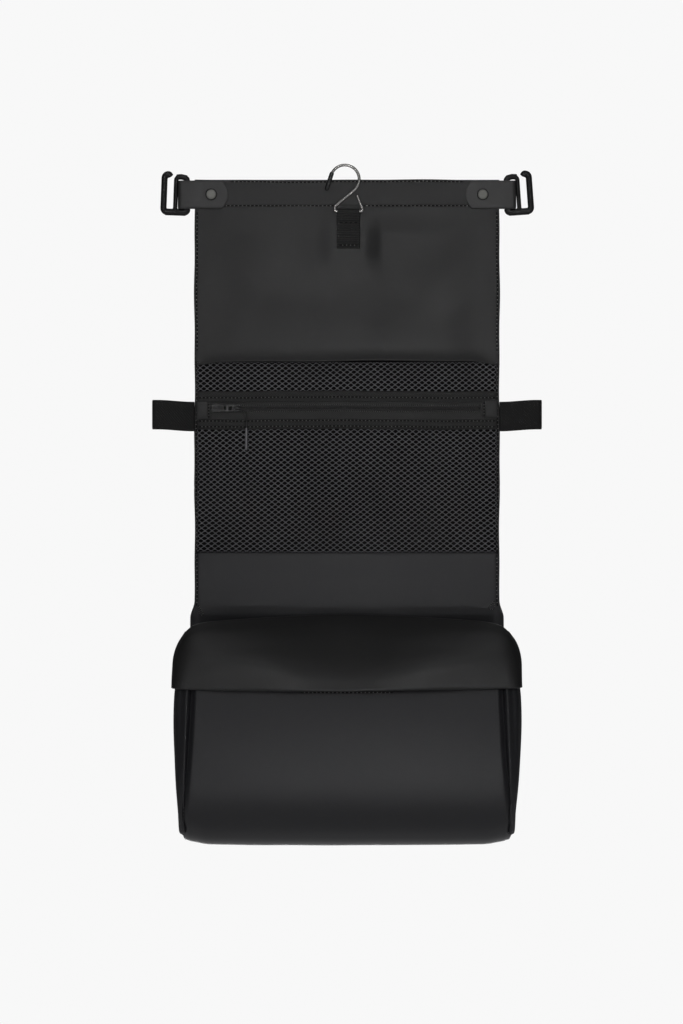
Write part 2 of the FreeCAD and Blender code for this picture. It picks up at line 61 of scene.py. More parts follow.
# ---------------------------------------------------------------- the cord
# the route's points, as in the CAD
sx, zm = -116.4, -207.8
hx = sx + 6.3 + 16.1
ROUTE = [(hx + 0.4, -3.6, zm + 0.1), (hx + 5.2, -3.4, zm - 1.2), (hx + 7.7, -3.1, zm - 6.0),
         (hx + 7.5, -2.9, zm - 15.8), (hx + 7.4, -2.8, zm - 36.0)]
curve = bpy.data.curves.new("pull_cord_visual", "CURVE")
curve.dimensions = "3D"
spline = curve.splines.new("NURBS")
spline.points.add(len(ROUTE) - 1)
for p, q in zip(spline.points, ROUTE):
    p.co = (q[0] / 1000, q[1] / 1000, q[2] / 1000, 1)
spline.order_u = 3
spline.use_endpoint_u = True
spline.resolution_u = 12
curve.bevel_depth = 0.0007
curve.bevel_resolution = 4
curve.use_fill_caps = True
cord = bpy.data.objects.new("pull_cord_visual", curve)
scene.collection.objects.link(cord)


# ---------------------------------------------------------------- materials
def material(name, color, rough, bump=None, weave=None, metallic=0.0, spec=0.5, mottle=0.12, coat=0.0, sheen=0.0,
             rough_var=0.06, mottle_scale=22.0):
    """A procedural material. bump is (scale, distance) for grain, weave is (kind, pitch, distance); the weave also
    paints shade into the colour, darker in its hollows and lighter on its ridges.
    """
    m = bpy.data.materials.new(name)
    m.use_nodes = True
    nt = m.node_tree
    n, ln = nt.nodes, nt.links
    b = n["Principled BSDF"]
    b.inputs["Metallic"].default_value = metallic
    b.inputs["Specular IOR Level"].default_value = spec
    b.inputs["Coat Weight"].default_value = coat
    b.inputs["Coat Roughness"].default_value = 0.12
    b.inputs["Sheen Weight"].default_value = sheen
    b.inputs["Sheen Roughness"].default_value = 0.5
    tc = n.new("ShaderNodeTexCoord")
    # uneven tone over centimetres, and a finer one over millimetres
    big = n.new("ShaderNodeTexNoise")
    big.inputs["Scale"].default_value = mottle_scale
    big.inputs["Detail"].default_value = 4
    ln.new(tc.outputs["Object"], big.inputs["Vector"])
    fine = n.new("ShaderNodeTexNoise")
    fine.inputs["Scale"].default_value = 700
    fine.inputs["Detail"].default_value = 3
    ln.new(tc.outputs["Object"], fine.inputs["Vector"])
    both = n.new("ShaderNodeMath")
    both.operation = "MULTIPLY_ADD"
    both.inputs[1].default_value = 0.65
    ln.new(big.outputs["Fac"], both.inputs[0])
    small = n.new("ShaderNodeMath")
    small.operation = "MULTIPLY"
    small.inputs[1].default_value = 0.35
    ln.new(fine.outputs["Fac"], small.inputs[0])
    ln.new(small.outputs[0], both.inputs[2])
    ramp = n.new("ShaderNodeValToRGB")
    lo, hi = [c * (1 - mottle) for c in color], [c * (1 + mottle) for c in color]
    ramp.color_ramp.elements[0].position, ramp.color_ramp.elements[1].position = 0.35, 0.65
    ramp.color_ramp.elements[0].color = (*lo, 1)
    ramp.color_ramp.elements[1].color = (*hi, 1)
    ln.new(both.outputs[0], ramp.inputs["Fac"])
    tone = ramp.outputs["Color"]
    r = n.new("ShaderNodeMapRange")
    r.inputs["To Min"].default_value = rough - rough_var
    r.inputs["To Max"].default_value = rough + rough_var
    ln.new(both.outputs[0], r.inputs["Value"])
    ln.new(r.outputs["Result"], b.inputs["Roughness"])
    heights = []
    if bump:
        g = n.new("ShaderNodeTexNoise")
        g.inputs["Scale"].default_value = bump[0]
        g.inputs["Detail"].default_value = 2
        ln.new(tc.outputs["Object"], g.inputs["Vector"])
        heights.append((g.outputs["Fac"], bump[1]))
    if weave:
        kind, pitch, distance = weave
        xyz = n.new("ShaderNodeSeparateXYZ")
        ln.new(tc.outputs["Object"], xyz.inputs[0])

        def wave(source, step, phase=None):
            a = n.new("ShaderNodeMath")
            a.operation = "MULTIPLY"
            a.inputs[1].default_value = 2 * math.pi / step
            ln.new(source, a.inputs[0])
            out = a.outputs[0]
            if phase is not None:
                c = n.new("ShaderNodeMath")
                c.operation = "ADD"
                ln.new(out, c.inputs[0])
                ln.new(phase, c.inputs[1])
                out = c.outputs[0]
            w = n.new("ShaderNodeMath")
            w.operation = "SINE"
            ln.new(out, w.inputs[0])
            return w.outputs[0]

        def mix(op, a, c):
            q = n.new("ShaderNodeMath")
            q.operation = op
            for k, v in enumerate((a, c)):
                if isinstance(v, (int, float)):
                    q.inputs[k].default_value = v
                else:
                    ln.new(v, q.inputs[k])
            return q.outputs[0]

        X, Y, Z = xyz.outputs[0], xyz.outputs[1], xyz.outputs[2]
        if kind == "rib":          # ribs across a strap that runs up and down
            ribs = wave(mix("ADD", Z, mix("MULTIPLY", fine.outputs["Fac"], pitch * 0.35)), pitch)
            warp = wave(X, pitch * 0.62)
            height = mix("ADD", mix("MULTIPLY", ribs, 0.75), mix("MULTIPLY", warp, 0.25))
        elif kind == "twill":      # slanting ribs on a strap that runs sideways
            slant = mix("ADD", mix("MULTIPLY", Z, 0.8), mix("MULTIPLY", X, 0.95))
            ribs = wave(slant, pitch)
            warp = wave(Z, pitch * 0.6)
            height = mix("ADD", mix("MULTIPLY", ribs, 0.7), mix("MULTIPLY", warp, 0.3))
        else:                      # plain tape: fine checks
            height = mix("MULTIPLY", wave(X, pitch), wave(Z, pitch))
        heights.append((height, distance))
        # colour follows the weave's height: painted shade in its hollows and painted highlight on its ridges,
        # standing in for the relief's shading
        painted_weave_shade = n.new("ShaderNodeMapRange")
        painted_weave_shade.inputs["From Min"].default_value = -1
        painted_weave_shade.inputs["From Max"].default_value = 1
        painted_weave_shade.inputs["To Min"].default_value = 0.3
        painted_weave_shade.inputs["To Max"].default_value = 1.7
        ln.new(height, painted_weave_shade.inputs["Value"])
        mul = n.new("ShaderNodeMix")
        mul.data_type = "RGBA"
        mul.blend_type = "MULTIPLY"
        mul.inputs["Factor"].default_value = 1
        ln.new(tone, mul.inputs["A"])
        ln.new(painted_weave_shade.outputs["Result"], mul.inputs["B"])
        tone = mul.outputs["Result"]
    ln.new(tone, b.inputs["Base Color"])
    last = None
    for value, distance in heights:
        bm = n.new("ShaderNodeBump")
        bm.inputs["Strength"].default_value = 1.0
        bm.inputs["Distance"].default_value = distance
        ln.new(value, bm.inputs["Height"])
        if last:
            ln.new(last, bm.inputs["Normal"])
        last = bm.outputs["Normal"]
    if last:
        ln.new(last, b.inputs["Normal"])
    return m


M_CLOTH = material("coated_cloth", (0.0086, 0.0084, 0.0085), 0.45, bump=(1500, 0.00003), spec=0.42, mottle=0.07)
M_POUCH = material("pouch_cloth", (0.0090, 0.0090, 0.0110), 0.45, bump=(1500, 0.00003), spec=0.42, mottle=0.07)
M_LINING = material("lining_cloth", (0.0012, 0.0012, 0.0015), 0.7, bump=(1100, 0.00004), spec=0.08)
M_TAB = material("tab_strap", (0.020, 0.0195, 0.0197), 0.40, bump=(1900, 0.00002), spec=0.5, mottle=0.06)
M_NET = material("net_yarn", (0.165, 0.165, 0.175), 0.36, bump=(4000, 0.00003), spec=0.6)
M_TAPE = material("woven_tape", (0.0135, 0.0135, 0.0133), 0.6, bump=(2600, 0.00008), weave=("plain", 0.0023, 0.00012), spec=0.35)
M_ZIPTAPE = material("zip_tape", (0.019, 0.019, 0.0185), 0.6, bump=(2600, 0.00005), weave=("plain", 0.0019, 0.00010), spec=0.4)
M_WEB = material("webbing_rib", (0.0150, 0.0150, 0.0148), 0.5, bump=(2200, 0.00012), weave=("rib", 0.0020, 0.00040), spec=0.4)
M_TWILL = material("webbing_twill", (0.0045, 0.0045, 0.0044), 0.45, bump=(2600, 0.00005), weave=("twill", 0.0021, 0.00025), spec=0.32)
M_THREAD = material("thread", (0.0008, 0.0008, 0.0008), 0.6, bump=(6000, 0.00003), spec=0.15)
# pale colour for the small pieces between stitch dashes: a painted highlight, painted glints on the thread
M_PAINTED_GLINT = material("painted_stitch_glint", (0.17, 0.167, 0.16), 0.4, bump=(6000, 0.00003), spec=0.6)
M_BLACK = material("black_enamel", (0.0016, 0.0016, 0.0019), 0.34, bump=(500, 0.00001), spec=0.30, rough_var=0.05)
M_PLASTIC = material("black_plastic", (0.0016, 0.0016, 0.0018), 0.14, bump=(900, 0.00001), spec=0.55, rough_var=0.04)
M_PIN = material("lacquered_tube", (0.17, 0.17, 0.18), 0.22, bump=(900, 0.000005), metallic=0.6, spec=0.8, rough_var=0.04)
M_PULL = material("black_lacquer", (0.0030, 0.0030, 0.0034), 0.26, bump=(500, 0.00001), spec=0.5, rough_var=0.04)
M_COIL = material("zip_coil_nylon", (0.024, 0.024, 0.024), 0.35, bump=(3000, 0.00002), spec=0.6)
M_HOOK = material("gunmetal", (0.30, 0.295, 0.285), 0.17, bump=(900, 0.000006), metallic=1.0, mottle=0.14, rough_var=0.05)
M_RIVET = material("rivet_grey", (0.17, 0.17, 0.155), 0.42, bump=(1600, 0.00004), metallic=0.3, mottle=0.14)
M_CORD = material("cord_braid", (0.005, 0.005, 0.005), 0.5, bump=(3500, 0.00009), spec=0.5)


# ---------------------------------------------------------------- mesh helpers
def sm(t):
    t = np.clip(t, 0.0, 1.0)
    return t * t * (3 - 2 * t)


def waves(x, z, seed, scale=60.0):
    """Smooth unevenness, about -1 to 1, the same each run."""
    rng = np.random.default_rng(seed)
    out = np.zeros(np.broadcast(x, z).shape)
    for k in range(6):
        a, ph = rng.uniform(0, 2 * math.pi, 2)
        f = (0.6 + 0.45 * k) / scale
        out = out + np.sin((x * math.cos(a) + z * math.sin(a)) * f * 2 * math.pi / 1.6 + ph) / (1 + 0.55 * k)
    return out / 2.6


def make(name, verts, faces, mat, body, smooth=True):
    mesh = bpy.data.meshes.new(name)
    v = np.asarray(verts, float).reshape(-1, 3) / 1000.0
    mesh.from_pydata(v.tolist(), [], faces)
    mesh.validate()
    mesh.polygons.foreach_set("use_smooth", [smooth] * len(mesh.polygons))
    mesh.materials.append(mat)
    mesh.update()
    o = bpy.data.objects.new(name, mesh)
    scene.collection.objects.link(o)
    if body:
        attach(o, body)
    return o


def normals(P):
    du = np.gradient(P, axis=0)
    dv = np.gradient(P, axis=1)
    n = np.cross(du, dv)
    return n / np.maximum(np.linalg.norm(n, axis=2, keepdims=True), 1e-9)


def skin(name, P, thick, mat, body, side=1, edge=0.35, join=True):
    """A closed cloth of even thickness. P is its outer surface as rows and columns of points, in mm."""
    P = np.asarray(P, float)
    R, C = P.shape[:2]
    side = -side
    N = normals(P) * side
    inner = P - N * thick
    verts = [P.reshape(-1, 3), inner.reshape(-1, 3)]
    faces = []
    idx = np.arange(R * C).reshape(R, C)
    a, b, c, d = idx[:-1, :-1], idx[:-1, 1:], idx[1:, 1:], idx[1:, :-1]
    outer = np.stack([a, d, c, b] if side > 0 else [a, b, c, d], -1).reshape(-1, 4)
    faces += outer.tolist()
    faces += (outer[:, ::-1] + R * C).tolist()
    ring = [(0, j) for j in range(C)] + [(i, C - 1) for i in range(1, R)]
    ring += [(R - 1, j) for j in range(C - 2, -1, -1)] + [(i, 0) for i in range(R - 2, 0, -1)]
    ring = np.array(ring)
    # the rim is rounded: one more loop stands a little out from the middle of the thickness
    way = np.zeros((len(ring), 3))
    for k, (i, j) in enumerate(ring):
        o = np.zeros(3)
        if i == 0: o += P[0, j] - P[1, j]
        if i == R - 1: o += P[R - 1, j] - P[R - 2, j]
        if j == 0: o += (P[i, 0] - P[i, 1])
        if j == C - 1: o += (P[i, C - 1] - P[i, C - 2])
        way[k] = o / max(np.linalg.norm(o), 1e-9)
    mid = (P[ring[:, 0], ring[:, 1]] + inner[ring[:, 0], ring[:, 1]]) / 2 + way * thick * edge
    base = 2 * R * C
    verts.append(mid)
    L = len(ring)
    flat = idx[ring[:, 0], ring[:, 1]]
    for k in range(L):
        n = (k + 1) % L
        q1 = [int(flat[k]), int(flat[n]), base + n, base + k]
        q2 = [base + k, base + n, int(flat[n]) + R * C, int(flat[k]) + R * C]
        if side < 0:
            q1, q2 = q1[::-1], q2[::-1]
        faces += [q1, q2]
    return make(name, np.concatenate(verts), faces, mat, body)


def lines(lo, hi, step, marks=(), near=(0.0, 0.4, 0.9, 1.6)):
    """Even lines, with more of them beside each mark."""
    v = list(np.linspace(lo, hi, max(2, int(round(abs(hi - lo) / step)) + 1)))
    for m in marks:
        for d in near:
            v += [m - d, m + d]
    a, b = min(lo, hi), max(lo, hi)
    v = sorted({round(float(x), 3) for x in v if a - 1e-6 <= x <= b + 1e-6})
    return np.array(v if lo < hi else v[::-1])


def refine(G, ru, rv):
    """Smooth surface through a coarse grid of points (Catmull-Rom both ways)."""
    def along(A, r):
        A = np.asarray(A, float)
        n = len(A)
        ext = np.concatenate([[2 * A[0] - A[1]], A, [2 * A[-1] - A[-2]]])
        out = []
        for i in range(n - 1):
            p0, p1, p2, p3 = ext[i], ext[i + 1], ext[i + 2], ext[i + 3]
            for k in range(r):
                t = k / r
                out.append(0.5 * ((2 * p1) + (p2 - p0) * t + (2 * p0 - 5 * p1 + 4 * p2 - p3) * t * t
                                  + (3 * p1 - p0 - 3 * p2 + p3) * t ** 3))
        out.append(A[-1])
        return np.array(out)
    A = along(G, ru)
    return np.swapaxes(along(np.swapaxes(A, 0, 1), rv), 0, 1)


def relax(P, times, keep_rows=True, keep_cols=True, weight=0.5):
    P = P.copy()
    for _ in range(times):
        Q = P.copy()
        Q[1:-1, 1:-1] = P[1:-1, 1:-1] * (1 - weight) + weight * 0.25 * (
            P[:-2, 1:-1] + P[2:, 1:-1] + P[1:-1, :-2] + P[1:-1, 2:])
        if not keep_rows:
            Q[0, 1:-1] = P[0, 1:-1] * (1 - weight) + weight * 0.5 * (P[0, :-2] + P[0, 2:])
            Q[-1, 1:-1] = P[-1, 1:-1] * (1 - weight) + weight * 0.5 * (P[-1, :-2] + P[-1, 2:])
        P = Q
    return P


def frames_along(path):
    path = np.asarray(path, float)
    t = np.gradient(path, axis=0)
    t /= np.linalg.norm(t, axis=1, keepdims=True)
    ref = np.array([0.0, 1.0, 0.0]) if abs(t[0][1]) < 0.9 else np.array([1.0, 0, 0])
    n = np.zeros_like(path)
    n[0] = ref - t[0] * ref.dot(t[0])
    n[0] /= np.linalg.norm(n[0])
    for i in range(1, len(path)):
        v = n[i - 1] - t[i] * n[i - 1].dot(t[i])
        n[i] = v / max(np.linalg.norm(v), 1e-9)
    return t, n, np.cross(t, n)


def tube_mesh(path, rn, rb=None, sides=16, caps=True):
    """Vertices and faces of a tube. rn and rb are the half sizes along the normal (Y first) and across it."""
    path = np.asarray(path, float)
    K = len(path)
    rn = np.broadcast_to(np.asarray(rn, float), (K,))
    rb = rn if rb is None else np.broadcast_to(np.asarray(rb, float), (K,))
    t, n, b = frames_along(path)
    ang = np.linspace(0, 2 * math.pi, sides, endpoint=False)
    V = path[:, None] + n[:, None] * (rn[:, None] * np.cos(ang))[..., None] + b[:, None] * (rb[:, None] * np.sin(ang))[..., None]
    V = V.reshape(-1, 3)
    F = []
    for i in range(K - 1):
        for k in range(sides):
            k2 = (k + 1) % sides
            F.append([i * sides + k, i * sides + k2, (i + 1) * sides + k2, (i + 1) * sides + k])
    if caps:
        V = np.concatenate([V, [path[0] - t[0] * 0.35 * rn[0]], [path[-1] + t[-1] * 0.35 * rn[-1]]])
        for k in range(sides):
            F.append([K * sides, (k + 1) % sides, k])
            F.append([K * sides + 1, (K - 1) * sides + k, (K - 1) * sides + (k + 1) % sides])
    return V, F


class Heap:
    """Many small closed shapes gathered into one mesh."""
    def __init__(self):
        self.v, self.f, self.n = [], [], 0

    def add(self, V, F):
        self.v.append(np.asarray(V, float))
        self.f += [[i + self.n for i in f] for f in F]
        self.n += len(V)

    def make(self, name, mat, body):
        return make(name, np.concatenate(self.v), self.f, mat, body)


def path_points(points, step):
    """Points step apart along a polyline, with the distances."""
    p = np.asarray(points, float)
    s = np.concatenate([[0], np.cumsum(np.linalg.norm(np.diff(p, axis=0), axis=1))])
    n = int(s[-1] / step)
    at = (s[-1] - n * step) / 2 + np.arange(n + 1) * step
    return np.stack([np.interp(at, s, p[:, k]) for k in range(3)], 1), p, s, at


def stitches(heap, points, normal, pitch=3.45, dash=2.5, w=0.56, h=0.30, sink=0.10, lift=0.06, seed=1, between=0.0):
    """A row of thread stitches along a line that lies on the cloth."""
    p = np.asarray(points, float)
    s = np.concatenate([[0], np.cumsum(np.linalg.norm(np.diff(p, axis=0), axis=1))])
    rng = np.random.default_rng(seed)
    nrm = np.asarray(normal, float)
    nrm = nrm / np.linalg.norm(nrm)
    long = between or dash
    count = int((s[-1] - long) / pitch) + 1
    start = (s[-1] - (count - 1) * pitch - long) / 2
    if between:                     # the pieces between dashes that are this long
        start += (long + pitch - dash) / 2
        count = max(1, count - 1)
    prof = [(0.0, 0.45, -sink), (0.07, 0.9, 0.0), (0.25, 1.0, lift), (0.75, 1.0, lift), (0.93, 0.9, 0.0), (1.0, 0.45, -sink)]
    for i in range(count):
        a = start + i * pitch + rng.uniform(-0.08, 0.08)
        off = rng.uniform(-0.05, 0.05)
        centre = []
        for t, _, up in prof:
            at = a + dash * t
            c = np.array([np.interp(at, s, p[:, k]) for k in range(3)])
            centre.append(c + nrm * up)
        centre = np.array(centre)
        d = centre[-1] - centre[0]
        d /= max(np.linalg.norm(d), 1e-9)
        side = np.cross(d, nrm)
        V, F = [], []
        S = 6
        for c, (t, r, _) in zip(centre, prof):
            for k in range(S):
                an = 2 * math.pi * k / S
                V.append(c + side * (off + math.cos(an) * w * r) + nrm * (math.sin(an) * h * r))
        for q in range(len(prof) - 1):
            for k in range(S):
                k2 = (k + 1) % S
                F.append([q * S + k, (q + 1) * S + k, (q + 1) * S + k2, q * S + k2])
        F.append(list(range(S)))
        F.append([(len(prof) - 1) * S + k for k in range(S)][::-1])
        heap.add(V, F)


def resample(points, n):
    p = np.asarray(points, float)
    s = np.concatenate([[0], np.cumsum(np.linalg.norm(np.diff(p, axis=0), axis=1))])
    at = np.linspace(0, s[-1], n)
    return np.stack([np.interp(at, s, p[:, k]) for k in range(p.shape[1])], 1)


def arc(cx, cy, r, a0, a1, n=10):
    a = np.radians(np.linspace(a0, a1, n + 1))
    return np.stack([cx + r * np.cos(a), cy + r * np.sin(a)], 1)


thread = {}       # body -> Heap of light thread
glint_heaps = {}  # body -> Heap of the small pale pieces between the stitches; their pale colour is a painted highlight, painted glints on the thread


def sew(body, points, normal, **kw):
    stitches(thread.setdefault(body, Heap()), points, normal, **kw)
    # between two dashes the thread dives in; small pale pieces sit there, and their pale colour is a painted
    # highlight standing for the thread's glints
    pitch = kw.get("pitch", 3.45)
    stitches(glint_heaps.setdefault(body, Heap()), points, normal, pitch=pitch, dash=0.26 * pitch, w=0.38, h=0.26, sink=0.08,
             lift=0.06, seed=7, between=kw.get("dash", 2.5))


FRONT = (0, -1, 0)
BACK = (0, 1, 0)

# ================================================================= upper panel
TOP, HALF = -11.5, 131.0
ROW1, ROW2 = -13.0, -33.6


def groove(d, depth=0.14, wide=0.75):
    return depth * np.exp(-(d / wide) ** 2)


def edge_x(z):
    """Half width of the flat cloth, a little uneven, wider where it meets the pouch."""
    return HALF + 0.25 * np.sin(z / 23.0) + 0.2 * np.sin(z / 9.1 + 1) + 3.2 * sm((-z - 374.0) / 14.0)


def front_y(x, z):
    """Front surface of the upper cloth."""
    y = 2.8 + 0 * x
    y = y + 0.4 * sm((np.abs(x) - 128.6) / 2.4)
    y = y - 0.35 * (1 - sm((-z - 33.0) / 2.2))
    y = y + 0.5 * sm((z + 13.2) / 1.8)
    y = y + groove(z - ROW1) + groove(z - ROW2, 0.2) + groove(np.abs(x) - 129.0, 0.14)
    body = sm((-z - 35.0) / 25.0) * sm((118.0 - np.abs(x)) / 40.0)
    body = body * (1 - sm((30.0 - np.abs(x - 1.3)) / 17.0) * sm((z + 100.0) / 26.0))
    y = y - body * (2.1 + 1.9 * waves(x, z, 3, 80.0)) - 0.26 * waves(x, z, 4, 30.0) * sm((-z - 30) / 20)
    # small puckers along the hem
    y = y - 0.10 * np.sin(x / 3.45 * 2 * math.pi / 2.1) * np.exp(-((z - ROW2 + 2.2) / 2.0) ** 2)
    return y


xs = lines(-1, 1, 0.0125, marks=(-129 / 131, 129 / 131), near=(0, 0.0028, 0.0056, 0.0095))
zs = lines(-155.0, TOP, 2.2, marks=(ROW1, ROW2))[::-1]
rows = []
for z in zs:
    x = xs * edge_x(z)
    zz = z + (0.35 * np.sin(x / 31.0) + 0.2 * np.sin(x / 12.0 + 2)) * sm((z + 26.0) / 14.0)
    rows.append(np.stack([x, front_y(x, np.full_like(x, z)), zz], 1))
# the soft roll at the bottom: out, round, and back under
last = rows[-1]
for k, (dy, dz) in enumerate([(-0.35, -2.6), (-1.0, -5.2), (-1.9, -7.6), (-3.0, -9.6), (-3.9, -10.9), (-4.35, -11.7),
                              (-4.25, -12.4), (-3.7, -12.7), (-2.9, -12.3), (-2.3, -11.3)]):
    x = last[:, 0].copy()
    low = 3.0 * sm((np.abs(x) - 106.0) / 24.0)
    shrink = 1 - 0.62 * sm((np.abs(x) - 108.0) / 23.0)
    drop = 0.45 * np.sin(x / 37.0 + 0.6) + 0.25 * np.sin(x / 15.0)
    rows.append(np.stack([x, last[:, 1] + dy * shrink, last[:, 2] + dz + (-(low) + drop) * sm(k / 4.0)], 1))
P = np.array(rows)
upper = skin("upper_front_cloth", P, 0.8, M_CLOTH, "top_panel", side=-1)
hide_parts("upper_panel")


def on_front(x, z, lift=0.0):
    return np.stack([x, front_y(x, z) - lift, z + (0.35 * np.sin(x / 31.0) + 0.2 * np.sin(x / 12.0 + 2)) * sm((z + 26.0) / 14.0)], 1)


x = np.linspace(-101.0, 101.0, 160)
sew("top_panel", on_front(x, np.full_like(x, ROW1)), FRONT)
for a, b in ((-108.0, -9.8), (12.6, 108.0)):
    x = np.linspace(a, b, 120)
    sew("top_panel", on_front(x, np.full_like(x, ROW2)), FRONT)
for s in (-1, 1):
    z = np.linspace(-38.5, -163.0, 120)
    sew("top_panel", on_front(s * (edge_x(z) - 2.0), z), FRONT)

# ================================================= back cloth, in two sheets
def back_y(x, z):
    y = 5.2 - 0.4 * sm((np.abs(x) - 128.6) / 2.4) - 0.5 * sm((z + 13.2) / 1.8)
    y = y - groove(z - ROW1) - groove(z - ROW2, 0.2) - groove(np.abs(x) - 129.0, 0.14) * (z > -384)
    y = y + 0.5 * waves(x, z, 9, 80.0) * sm((118.0 - np.abs(x)) / 40.0) * sm((-z - 40) / 30) * sm((z + 560) / 60)
    return y


def back_grid(z0, z1):
    zs = lines(z1, z0, 2.4, marks=[m for m in (ROW1, ROW2, -386.0) if z1 < m < z0])[::-1]
    rows = []
    for z in zs:
        x = xs * edge_x(z)
        y = back_y(x, np.full_like(x, z))
        # the bottom of the pouch's back turns in
        under = sm((-z - 556.0) / 18.0)
        y = y - 3.4 * under ** 2
        x = x * (1 - 0.012 * under)
        rows.append(np.stack([x, y, np.full_like(x, z)], 1))
    return np.array(rows)


SPLIT = -276.0
b1 = skin("back_cloth_upper", back_grid(TOP, SPLIT), 0.8, M_CLOTH, None, side=1)
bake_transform(b1)
b2 = skin("back_cloth_lower", back_grid(SPLIT - 0.05, -573.0), 0.8, M_CLOTH, None, side=1)
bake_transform(b2)
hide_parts("upper_back")
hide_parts("mid_back")
x = np.linspace(-101.0, 101.0, 160)
for row in (ROW1, ROW2):
    sew("top_panel", np.stack([x, back_y(x, np.full_like(x, row)), np.full_like(x, row)], 1), BACK)
for s in (-1, 1):
    for z0, z1, body in ((-38.5, -153.0, "top_panel"), (-181.0, -379.0, "mid_panel")):
        z = np.linspace(z0, z1, 140)
        x = s * (edge_x(z) - 2.0)
        sew(body, np.stack([x, back_y(x, z), z], 1), BACK)
# the seam where the two back sheets meet: a flat felled strip with two rows
zz = np.array([SPLIT + 6.0, SPLIT + 5.2, SPLIT + 3, SPLIT, SPLIT - 3, SPLIT - 5.2, SPLIT - 6.0])
x = np.linspace(-130.6, 130.6, 90)
P = np.array([np.stack([x, back_y(x, np.full_like(x, z)) + (0.55 if 0 < i < 6 else 0.2), np.full_like(x, z)], 1) for i, z in enumerate(zz)])
seam = skin("back_seam_strip", P, 0.5, M_CLOTH, "mid_panel", side=1)
for z in (SPLIT + 4.4, SPLIT - 4.4):
    sew("mid_panel", np.stack([x, back_y(x, np.full_like(x, z)) + 0.55, np.full_like(x, z)], 1), BACK)

# ================================================= pocket backing and facing
zs = lines(-331.6, -167.0, 4.0)[::-1]
P = np.array([np.stack([xs * (edge_x(z) - 0.3), 2.8 + 0.7 * sm((np.abs(xs * edge_x(z)) - 127) / 3.5) - 0.1 * waves(xs * 131, np.full_like(xs, z), 12, 40), np.full_like(xs, z)], 1) for z in zs])
backing = skin("pocket_backing_cloth", P, 0.8, M_LINING, "mid_panel", side=-1)
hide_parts("pocket_backing")

MB = -331.8


def facing_y(x, z):
    y = 1.9 + 0.9 * sm((np.abs(x) - 126.4) / 4.4) + 0 * z
    y = y + groove(np.abs(x) - 129.0, 0.14) + 0.55 * np.exp(-((z - MB - 1.2) / 1.2) ** 2)
    y = y - 0.42 * waves(x, z, 21, 60.0) * sm((MB - z) / 12.0) * sm((118 - np.abs(x)) / 30)
    # below the collar it is the pouch's inner back wall
    return y + 0.9 * sm((-z - 384.0) / 10.0)


zs = lines(-566.0, MB + 0.4, 2.6, marks=(-386.0,))[::-1]
P = []
for z in zs:
    half = edge_x(z) * (1 - 0.018 * sm((-z - 388) / 20)) - 0.2
    x = xs * half
    P.append(np.stack([x, facing_y(x, np.full_like(x, z)), np.full_like(x, z)], 1))
facing = skin("lower_facing_cloth", np.array(P), 0.75, M_POUCH, None, side=-1)
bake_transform(facing)
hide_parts("lower_facing", "pouch_back")
for s in (-1, 1):
    z = np.linspace(MB - 1.0, -379.0, 60)
    x = s * (edge_x(z) - 2.0)
    sew("mid_panel", np.stack([x, facing_y(x, z), z], 1), FRONT)
# bartacks: small stitched triangles at the two lower corners
for pts in ([(-127.8, -377.2), (-123.0, -386.0), (-126.8, -386.0), (-127.8, -377.2)],
            [(126.8, -373.0), (121.4, -380.6), (127.0, -381.0), (126.8, -373.0)]):
    for (x0, z0), (x1, z1) in zip(pts, pts[1:]):
        q = np.linspace(0, 1, 12)
        x, z = x0 + (x1 - x0) * q, z0 + (z1 - z0) * q
        sew("mid_panel", np.stack([x, facing_y(x, z), z], 1), FRONT, pitch=1.7, dash=1.35, w=0.24)

# ================================================================== side edges
# the mesh pocket's side seams: a folded edge on each side, over the net
for s in (-1, 1):
    zs = np.arange(-167.6, MB - 1.0, -2.5)
    prof = [(131.0, 3.0), (131.1, 2.2), (130.9, 1.6), (130.4, 1.2), (129.7, 1.1), (129.2, 1.3), (129.1, 1.7)]
    P = np.array([[(s * (px + edge_x(z) - HALF), py + 0.12 * math.sin(z / 7.0), z) for px, py in prof] for z in zs])
    e = skin("side_hem_" + ("left" if s < 0 else "right"), P, 0.5, M_CLOTH, "mid_panel", side=s)
    z = np.linspace(-169.5, MB - 1.0, 120)
    sew("mid_panel", np.stack([s * (edge_x(z) - 1.5), np.full_like(z, 1.12), z], 1), FRONT, w=0.36)

